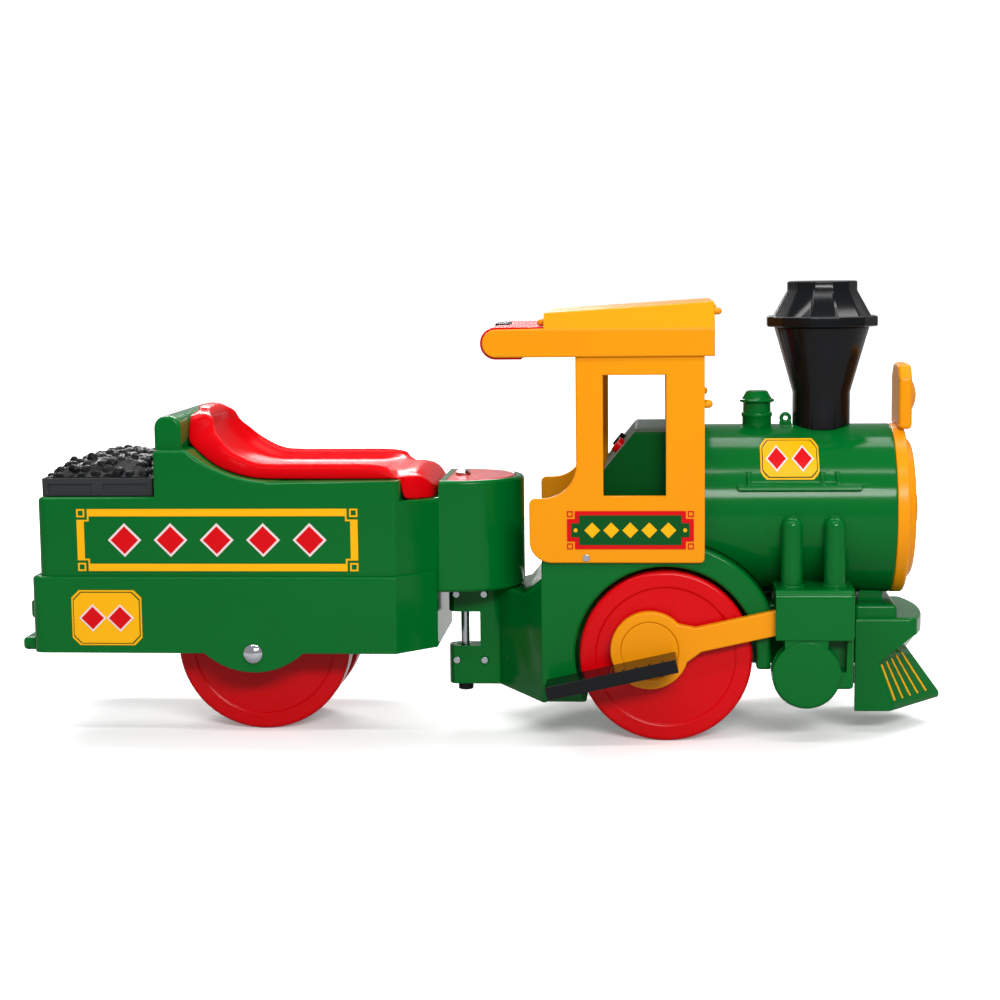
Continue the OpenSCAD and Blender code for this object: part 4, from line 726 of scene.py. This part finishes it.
def lump_tree():
    """Angular lumps scattered over a surface."""
    tree, given, out = new_group(
        "coal_lumps", "GeometryNodeTree",
        [("Geometry", "Geometry", None), ("Spacing", "Float", 0.01),
         ("Lump", "Float", 0.007), ("Rise", "Float", 0.0),
         ("Finish", "Material", None), ("Seed", "Int", 4)],
        [("Geometry", "Geometry")])
    node = tree.nodes.new
    scatter = node("GeometryNodeDistributePointsOnFaces")
    scatter.distribute_method = "POISSON"
    scatter.inputs["Density Max"].default_value = LUMP_DENSITY
    ball = node("GeometryNodeMeshIcoSphere")
    ball.inputs["Subdivisions"].default_value = 2
    place = node("GeometryNodeInstanceOnPoints")
    turn = node("FunctionNodeRandomValue")
    turn.data_type = "FLOAT_VECTOR"
    turn.inputs["Max"].default_value = (math.tau,) * 3
    grade = node("FunctionNodeRandomValue")
    grade.data_type = "FLOAT_VECTOR"
    grade.inputs["Min"].default_value = LUMP_LEAST
    grade.inputs["Max"].default_value = LUMP_MOST
    sink = node("GeometryNodeTranslateInstances")
    sink.inputs["Local Space"].default_value = False
    drop = node("ShaderNodeCombineXYZ")
    real = node("GeometryNodeRealizeInstances")
    dye = node("GeometryNodeSetMaterial")
    wire(tree, (given, "Geometry", scatter, "Mesh"), (given, "Spacing", scatter, "Distance Min"),
         (given, "Seed", scatter, "Seed"), (given, "Lump", ball, "Radius"),
         (scatter, "Points", place, "Points"), (ball, "Mesh", place, "Instance"),
         (turn, "Value", place, "Rotation"), (grade, "Value", place, "Scale"),
         (given, "Rise", drop, "Z"), (place, "Instances", sink, "Instances"),
         (drop, "Vector", sink, "Translation"), (sink, "Instances", real, "Geometry"),
         (real, "Geometry", dye, "Geometry"), (given, "Finish", dye, "Material"),
         (dye, "Geometry", out, "Geometry"))
    return tree


def row_tree():
    """Boxes in a row, each turned and sized alike."""
    found = bpy.data.node_groups.get("box_row")
    if found:
        return found
    tree, given, out = new_group(
        "box_row", "GeometryNodeTree",
        [("Geometry", "Geometry", None), ("Count", "Int", 5),
         ("Start", "Vector", (0, 0, 0)), ("Step", "Vector", (0, 0, 0)),
         ("Turn", "Vector", (0, 0, 0)), ("Size", "Vector", (0.01, 0.01, 0.01)),
         ("Finish", "Material", None)],
        [("Geometry", "Geometry")])
    node = tree.nodes.new
    line = node("GeometryNodeMeshLine")
    cube = node("GeometryNodeMeshCube")
    place = node("GeometryNodeInstanceOnPoints")
    real = node("GeometryNodeRealizeInstances")
    dye = node("GeometryNodeSetMaterial")
    wire(tree, (given, "Count", line, "Count"), (given, "Start", line, "Start Location"),
         (given, "Step", line, "Offset"), (given, "Size", cube, "Size"),
         (line, "Mesh", place, "Points"), (cube, "Mesh", place, "Instance"),
         (given, "Turn", place, "Rotation"), (place, "Instances", real, "Geometry"),
         (real, "Geometry", dye, "Geometry"), (given, "Finish", dye, "Material"),
         (dye, "Geometry", out, "Geometry"))
    return tree


# Building steps
class TrainOperator(bpy.types.Operator):
    """One step of the build, which raises if it fails"""
    bl_options = {"REGISTER", "UNDO"}

    def execute(self, context):
        self.build()
        return {"FINISHED"}


class TRAIN_OT_tender(TrainOperator):
    """Round the edges of the tender's mouldings"""
    bl_idname = "train.tender"
    bl_label = "Tender body"

    def build(self):
        dress("tender_body", "moulded_green", "body")
        dress("nose_cover", "moulded_red", "fine")
        # The coal tray's paler tone is painted reflection over its dark plastic
        dress("coal_tray", "moulded_tray", "fine")
        paint("battery", "moulded_dark")


class TRAIN_OT_seat(TrainOperator):
    """Smooth the seat's skin and press its rolled rim and dish into it"""
    bl_idname = "train.seat"
    bl_label = "Seat"

    def build(self):
        bm = bmesh.new()
        bm.from_mesh(frame["nodes"]["seat"].data)
        bmesh.ops.remove_doubles(bm, verts=bm.verts, dist=WELD)
        bmesh.ops.join_triangles(bm, faces=bm.faces, angle_face_threshold=JOIN_TURN,
                                 angle_shape_threshold=JOIN_SHAPE)
        piece = new_piece("seat_skin", bm, "moulded_seat", sharp=SEAT_SHARP)
        soft = piece.modifiers.new("soft", "SUBSURF")
        soft.levels = soft.render_levels = SEAT_LEVELS
        ready = piece.evaluated_get(bpy.context.evaluated_depsgraph_get())
        piece.data = bpy.data.meshes.new_from_object(ready)
        piece.modifiers.clear()
        self.press(piece.data, bpy.context.scene.train_seat)
        piece.data.set_sharp_from_angle(angle=SEAT_SHARP)
        stand_for(piece, "seat")

    def press(self, mesh, seat):
        """Raise the rim, sink the dish, and narrow the back towards its rounded top."""
        place, normal = (np.empty((len(mesh.vertices), 3)) for _ in range(2))
        mesh.vertices.foreach_get("co", place.ravel())
        mesh.vertices.foreach_get("normal", normal.ravel())
        x, y, z = place[:, 0] - PIN_X, place[:, 1], place[:, 2]
        behind = np.maximum(seat.dish_x - x, 0)
        turn = np.arctan2(behind, np.maximum(seat.dish_z - z, 0.1 * MM))
        up = np.stack([np.sin(turn), np.zeros(len(x)), np.cos(turn)], axis=1)
        narrow = (turn - seat.bend_turn) / (seat.crest_turn - seat.bend_turn)
        aside = np.maximum(seat.half - np.abs(y), MM)
        below = np.maximum((seat.crest_turn - turn) * seat.dish_r, MM)
        inside = (aside ** -CORNER_POWER + below ** -CORNER_POWER) ** (-1 / CORNER_POWER)
        ridge = np.clip(1 - ((inside - seat.rim_in) / seat.rim_half) ** 2, 0, 1) ** 2
        hollow = ease(inside, seat.rim_in + 0.5 * seat.rim_half, HOLLOW_EDGE * seat.rim_in)
        facing = ease((normal * up).sum(1), *FACES_UP)
        lift = ridge * seat.rim * ease(-x, -seat.toe, RIM_FADE - seat.toe)
        lift -= hollow * seat.hollow * ease(-x, -seat.toe, HOLLOW_FADE - seat.toe)
        place += up * (facing * lift)[:, None]
        place[:, 1] *= 1 - (1 - seat.crest) * ease(narrow, 0, 1)
        corner = ease(np.abs(y) / seat.half, *CORNER_ACROSS) * ease(narrow, *CORNER_UP)
        place[:, 2] -= seat.shoulder * corner
        self.soften(mesh, place, SOFT_PULL * ease(narrow, *SOFT_UP))
        mesh.vertices.foreach_set("co", place.ravel())
        mesh.update()

    def soften(self, mesh, place, weight):
        """Draw each point towards the middle of its neighbours."""
        ends = np.empty((len(mesh.edges), 2), int)
        mesh.edges.foreach_get("vertices", ends.ravel())
        one, two = np.concatenate([ends, ends[:, ::-1]]).T
        count = np.bincount(one, minlength=len(place))[:, None]
        for _ in range(SOFT_ROUNDS):
            total = np.stack([np.bincount(one, place[two, axis], len(place))
                              for axis in range(3)], axis=1)
            place += weight[:, None] * (total / count - place)


class TRAIN_OT_coal(TrainOperator):
    """Scatter lumps over the heaped coal"""
    bl_idname = "train.coal"
    bl_label = "Coal"

    def build(self):
        bm = welded("coal_pile")
        steep = [f for f in bm.faces if f.normal.z < UPWARD]
        bmesh.ops.delete(bm, geom=steep, context="FACES")
        surface = bpy.data.meshes.new("coal_surface")
        bm.to_mesh(surface)
        bm.free()
        finish = "moulded_coal"
        lumps = grow("coal_lumps", lump_tree(), {**COAL, "Finish": look(finish)}, surface)
        keep_inside(lumps, "coal_tray", RIM_INSET)
        go_with(lumps, "coal_pile")
        paint("coal_pile", finish)


class TRAIN_OT_frame(TrainOperator):
    """Round the edges of the locomotive's frame and cylinders"""
    bl_idname = "train.frame"
    bl_label = "Locomotive frame"

    def build(self):
        for side in ("right", "left"):
            dress("chassis_" + side, "moulded_green", "body")
            dress("cylinder_cover_" + side, "moulded_green", "body")


class TRAIN_OT_pilot(TrainOperator):
    """Round the pilot and paint the bars of its plough"""
    bl_idname = "train.pilot"
    bl_label = "Pilot"

    def build(self):
        dress("pilot", "moulded_green", "body")
        for side, half in (("right", -PLOUGH_HALF), ("left", PLOUGH_HALF)):
            corners = [(PIN_X + x, half * share, z) for x, share, z in PLOUGH_FACE]
            face_bars("plough_bars_" + side, corners, BAR_SHARES, BAR_SPAN, BAR_WIDTH,
                      "gold_paint", "pilot")


class TRAIN_OT_markings(TrainOperator):
    """Paint the frames and plates of the right side"""
    bl_idname = "train.markings"
    bl_label = "Markings"

    def build(self):
        self.tender_panel()
        self.tender_plate()
        self.cab_panel()
        self.boiler_plate()

    def tender_panel(self):
        m = marks()
        x0, x1, z0, z1 = m.panel_back, m.panel_front, m.panel_low, m.panel_high
        step = m.corner + LINE_STEP * m.line
        bars = [rectangle(x0 + step, z, x1 - step, z + m.band) for z in (z0, z1 - m.band)]
        bars += [rectangle(x, z0 + step, x + m.band, z1 - step) for x in (x0, x1 - m.band)]
        bars += corner_squares(x0, z0, x1, z1, m.corner, m.line)
        bars += stepped_corners(x0, z0, x1, z1, m.band, step, m.line)
        marking("tender_frame", bars, UPPER_SIDE, "gold_paint", "tender_body")
        inset = PANEL_INSET * m.corner
        self.lozenges(("tender_lozenge_edges", "tender_lozenges"), x0 + inset, x1 - inset,
                      0.5 * (z0 + z1), PANEL_COUNT, PANEL_LOZENGES, UPPER_SIDE, 0)

    def lozenges(self, names, x0, x1, z, count, sizes, y, layer):
        """Red lozenges on white ones along the tender, from a layer up."""
        for i, tint in enumerate(("white_paint", "red_paint")):
            lozenge_row(names[i], x0, x1, z, count, sizes[i], y, (layer + i) * LAYER, tint,
                        "tender_body")

    def plate_layers(self):
        """Inset, finish and name of a plate's layers, from the lowest up."""
        line = marks().line
        return ((0, "gold_paint", "edge"), (line, "green_paint", "line"),
                (LINE_STEP * line, "gold_paint", "field"))

    def tender_plate(self):
        m = marks()
        x0, x1, z0, z1 = m.plate_back, m.plate_front, m.plate_low, m.plate_high
        for i, (inset, finish, word) in enumerate(self.plate_layers()):
            shape = cut_plate(x0 + inset, z0 + inset, x1 - inset, z1 - inset, m.cut)
            marking("tender_plate_" + word, [shape], TENDER_SIDE, finish, "tender_body", i * LAYER)
        self.lozenges(("plate_lozenge_edges", "plate_lozenges"), x0 + m.cut, x1 - m.cut,
                      0.5 * (z0 + z1), PLATE_COUNT, PLATE_LOZENGES, TENDER_SIDE, 3)

    def cab_panel(self):
        m = marks()
        x0, x1, z0, z1 = m.cab_back, m.cab_front, m.cab_low, m.cab_high
        notch, rim, height = m.cut, CAB_BORDER, 0.5 * (z0 + z1)
        turns = [math.tau * i / DOT_SIDES for i in range(DOT_SIDES)]
        dots = [[(x + DOT_RADIUS * math.cos(a), height + DOT_RADIUS * math.sin(a)) for a in turns]
                for x in (x0 + DOT_INSET * notch, x1 - DOT_INSET * notch)]
        field = notched_bars(x0 + rim, z0 + rim, x1 - rim, z1 - rim, notch)
        corners = corner_squares(x0, z0, x1, z1, SMALL_CUT * notch, CAB_LINE)
        node = "cab_side_right"
        for name, shapes, tint, rise in (
                ("cab_panel_edge", notched_bars(x0, z0, x1, z1, notch), "red_paint", 0.0),
                ("cab_panel_field", field, "green_paint", LAYER),
                ("cab_panel_corners", corners, "red_paint", 0.0)):
            marking(name, shapes, CAB_SIDE, tint, node, rise)
        inset = CAB_INSET * notch
        lozenge_row("cab_lozenges", x0 + inset, x1 - inset, height, PANEL_COUNT, CAB_LOZENGE,
                    CAB_SIDE, 2 * LAYER, "gold_paint", node)
        marking("cab_dots", dots, CAB_SIDE, "gold_paint", node, 2 * LAYER)

    def boiler_plate(self):
        m = marks()
        x0, x1, z0, z1 = m.boiler_back, m.boiler_front, m.boiler_low, m.boiler_high
        for i, (inset, finish, word) in enumerate(self.plate_layers()):
            rows = cut_rows(x0 + inset, z0 + inset, x1 - inset, z1 - inset, SMALL_CUT * m.cut)
            bent_plate("boiler_plate_" + word, rows, i * LAYER, finish)
        middle, height = 0.5 * (x0 + x1), 0.5 * (z0 + z1)
        for word, place in (("back", middle - LOZENGE_GAP), ("front", middle + LOZENGE_GAP)):
            for name, size, rise, tint in (
                    ("boiler_lozenge_edge_", BOILER_LOZENGES[0], 3 * LAYER, "white_paint"),
                    ("boiler_lozenge_", BOILER_LOZENGES[1], 4 * LAYER, "red_paint")):
                bent_plate(name + word, lozenge_rows(place, height, *size), rise, tint)


class TRAIN_OT_boiler(TrainOperator):
    """Round the boiler's edges and its fittings"""
    bl_idname = "train.boiler"
    bl_label = "Boiler"

    def build(self):
        dress("boiler", "moulded_green", "panel")
        turned("steam_dome", DOME_PROFILE, BOILER_Z + BOILER_R, "moulded_green")
        dress("smokebox_front", "moulded_yellow", "panel")
        dress("headlamp", "moulded_yellow", "body")


class TRAIN_OT_chimney(TrainOperator):
    """Round the chimney's edges"""
    bl_idname = "train.chimney"
    bl_label = "Chimney"

    def build(self):
        dress("stack_base", "moulded_black", "panel")
        dress("stack_cap", "moulded_black", "panel", angle=20)


class TRAIN_OT_cab(TrainOperator):
    """Round the cab, the roof, the handle and the dashboard"""
    bl_idname = "train.cab"
    bl_label = "Cab"

    def build(self):
        for node in ("cab_side_right", "cab_side_left", "cab_front", "cab_roof"):
            dress(node, "moulded_yellow", "panel")
        dress("handle", "moulded_red", "panel")
        dress("throttle_button", "moulded_black", "panel")
        # The dashboard's darker green is painted shade for the inside of the cab
        dress("dashboard", "moulded_dash", "panel")
        dress("horn_button", "moulded_red", "fine")
        dress("whistle_button", "moulded_black", "fine")


class TRAIN_OT_running_gear(TrainOperator):
    """Round the wheels, rods and footrests"""
    bl_idname = "train.running_gear"
    bl_label = "Wheels and rods"

    def build(self):
        for side in ("right", "left"):
            dress("front_wheel_" + side, "moulded_red", "panel")
            dress("rear_wheel_" + side, "moulded_red", "panel")
            dress("connecting_rod_" + side, "moulded_yellow", "panel")
            dress("rod_cap_" + side, "moulded_yellow", "fine")
            dress("footrest_" + side, "moulded_black", "fine")


class TRAIN_OT_fittings(TrainOperator):
    """Finish the axles, pins, caps, screws and inner works"""
    bl_idname = "train.fittings"
    bl_label = "Fittings"

    def build(self):
        for node in ("hinge_pin", "front_axle", "front_axle_caps", "rear_axle", "motor",
                     "idler_shaft"):
            paint(node, "zinc_steel")
        for node in ("chassis_screws", "cab_screws"):
            dress(node, "zinc_steel", "fine", share=0.5)
        for node in ("pin_cap_top", "rear_axle_caps"):
            dress(node, "bright_chrome", "fine", share=0.5)
        dress("pin_cap_bottom", "moulded_black", "fine")
        for node in ("gearbox_frame", "sound_module", "throttle_switch", "rear_axle_spacers"):
            paint(node, "moulded_dark")
        for node in ("idler_gear", "drive_gear"):
            paint(node, "natural_nylon")
        paint("motor_pinion", "cut_brass")


class TRAIN_OT_stage(TrainOperator):
    """Floor, light and camera"""
    bl_idname = "train.stage"
    bl_label = "Stage"

    def build(self):
        half = FLOOR_HALF
        floor_mesh = bpy.data.meshes.new("floor")
        floor_mesh.from_pydata([(-half, -half, 0), (half, -half, 0), (half, half, 0),
                                (-half, half, 0)], [], [(0, 1, 2, 3)])
        floor_mesh.materials.append(self.sweep())
        floor = new_object("floor", floor_mesh)
        bpy.context.scene.world = self.world()
        bpy.context.scene.view_settings.view_transform = "Standard"
        for light in LIGHTS:
            self.light(*light)
        self.camera()

    def sweep(self):
        """White floor, lit up far from the train, that throws back only a soft light."""
        pale, deep = (0.95,) * 3, (0.93,) * 3
        made = material("studio_floor", pale, deep, (0.6, 0.7), grain=0)
        tree = made.node_tree
        shader = tree.nodes["Principled BSDF"]
        path = tree.nodes.new("ShaderNodeLightPath")
        place = tree.nodes.new("ShaderNodeTexCoord")
        reach = tree.nodes.new("ShaderNodeVectorMath")
        reach.operation = "LENGTH"
        far = tree.nodes.new("ShaderNodeMapRange")
        far.inputs["From Min"].default_value, far.inputs["From Max"].default_value = GLOW_REACH
        far.inputs["To Min"].default_value, far.inputs["To Max"].default_value = GLOW
        wire(tree, (place, "Object", reach, 0), (reach, "Value", far, "Value"))
        skin = shader.inputs["Base Color"].links[0].from_node
        for label, dim, bright, output in (("Base Color", FLOOR_RETURN, skin, "Colour"),
                                           ("Emission Color", GLOW_RETURN, far, "Result")):
            tone = tree.nodes.new("ShaderNodeMix")
            tone.data_type = "RGBA"
            tone.inputs["A"].default_value = (dim, dim, dim, 1)
            wire(tree, (path, "Is Camera Ray", tone, "Factor"), (bright, output, tone, "B"),
                 (tone, "Result", shader, label))
        shader.inputs["Emission Strength"].default_value = 1
        return made

    def world(self):
        """White wall behind the floor, with a soft even fill."""
        made = bpy.data.worlds.new("studio")
        made.use_nodes = True
        tree = made.node_tree
        sky = tree.nodes["Background"]
        path = tree.nodes.new("ShaderNodeLightPath")
        fill = tree.nodes.new("ShaderNodeMapRange")
        fill.inputs["To Min"].default_value = WALL_RETURN
        fill.inputs["To Max"].default_value = WALL_GLOW
        wire(tree, (path, "Is Camera Ray", fill, "Value"), (fill, "Result", sky, "Strength"))
        sky.inputs["Color"].default_value = (1, 1, 1, 1)
        return made

    def light(self, name, place, target, size, power):
        """A rectangular light aimed at a point."""
        lamp = bpy.data.lights.new(name, "AREA")
        lamp.energy = power
        lamp.shape = "RECTANGLE"
        lamp.size, lamp.size_y = size
        held = new_object(name, lamp)
        held.location = place
        aim = Vector(target) - Vector(place)
        held.rotation_euler = aim.to_track_quat("-Z", "Y").to_euler()

    def camera(self):
        stage = bpy.context.scene.train_stage
        lens = bpy.data.cameras.new("camera")
        lens.sensor_width = SENSOR
        lens.lens = stage.focal
        lens.clip_end = CLIP_END
        held = new_object("camera", lens)
        turn = (Matrix.Rotation(stage.yaw, 4, "Z")
                @ Matrix.Rotation(math.pi / 2 - stage.pitch, 4, "X")
                @ Matrix.Rotation(stage.roll, 4, "Z"))
        place = (PIN_X + stage.camera_x, stage.camera_y, stage.camera_z)
        held.matrix_world = Matrix.Translation(place) @ turn
        bpy.context.scene.camera = held


STEPS = (
    TRAIN_OT_tender, TRAIN_OT_seat, TRAIN_OT_coal, TRAIN_OT_frame, TRAIN_OT_pilot,
    TRAIN_OT_boiler, TRAIN_OT_chimney, TRAIN_OT_cab, TRAIN_OT_running_gear,
    TRAIN_OT_fittings, TRAIN_OT_markings, TRAIN_OT_stage)
GROUPS = {
    "train_colours": TrainColours, "train_edges": TrainEdges, "train_markings": TrainMarkings,
    "train_seat": TrainSeat, "train_stage": TrainStage}


class TRAIN_PT_panel(bpy.types.Panel):
    """Sidebar list of the train's building steps"""
    bl_idname = "TRAIN_PT_panel"
    bl_label = "Ride-on train"
    bl_space_type = "VIEW_3D"
    bl_region_type = "UI"
    bl_category = "Train"

    def draw(self, context):
        for step in STEPS:
            self.layout.operator(step.bl_idname)


CLASSES = (*GROUPS.values(), *STEPS, TRAIN_PT_panel)


def register():
    for cls in CLASSES:
        bpy.utils.register_class(cls)
    for name, group in GROUPS.items():
        setattr(bpy.types.Scene, name, bpy.props.PointerProperty(type=group))


def unregister():
    for name in GROUPS:
        delattr(bpy.types.Scene, name)
    for cls in reversed(CLASSES):
        bpy.utils.unregister_class(cls)


def main():
    register()
    for step in STEPS:
        group, name = step.bl_idname.split(".")
        getattr(getattr(bpy.ops, group), name)()


if __name__ == "__main__":
    main()
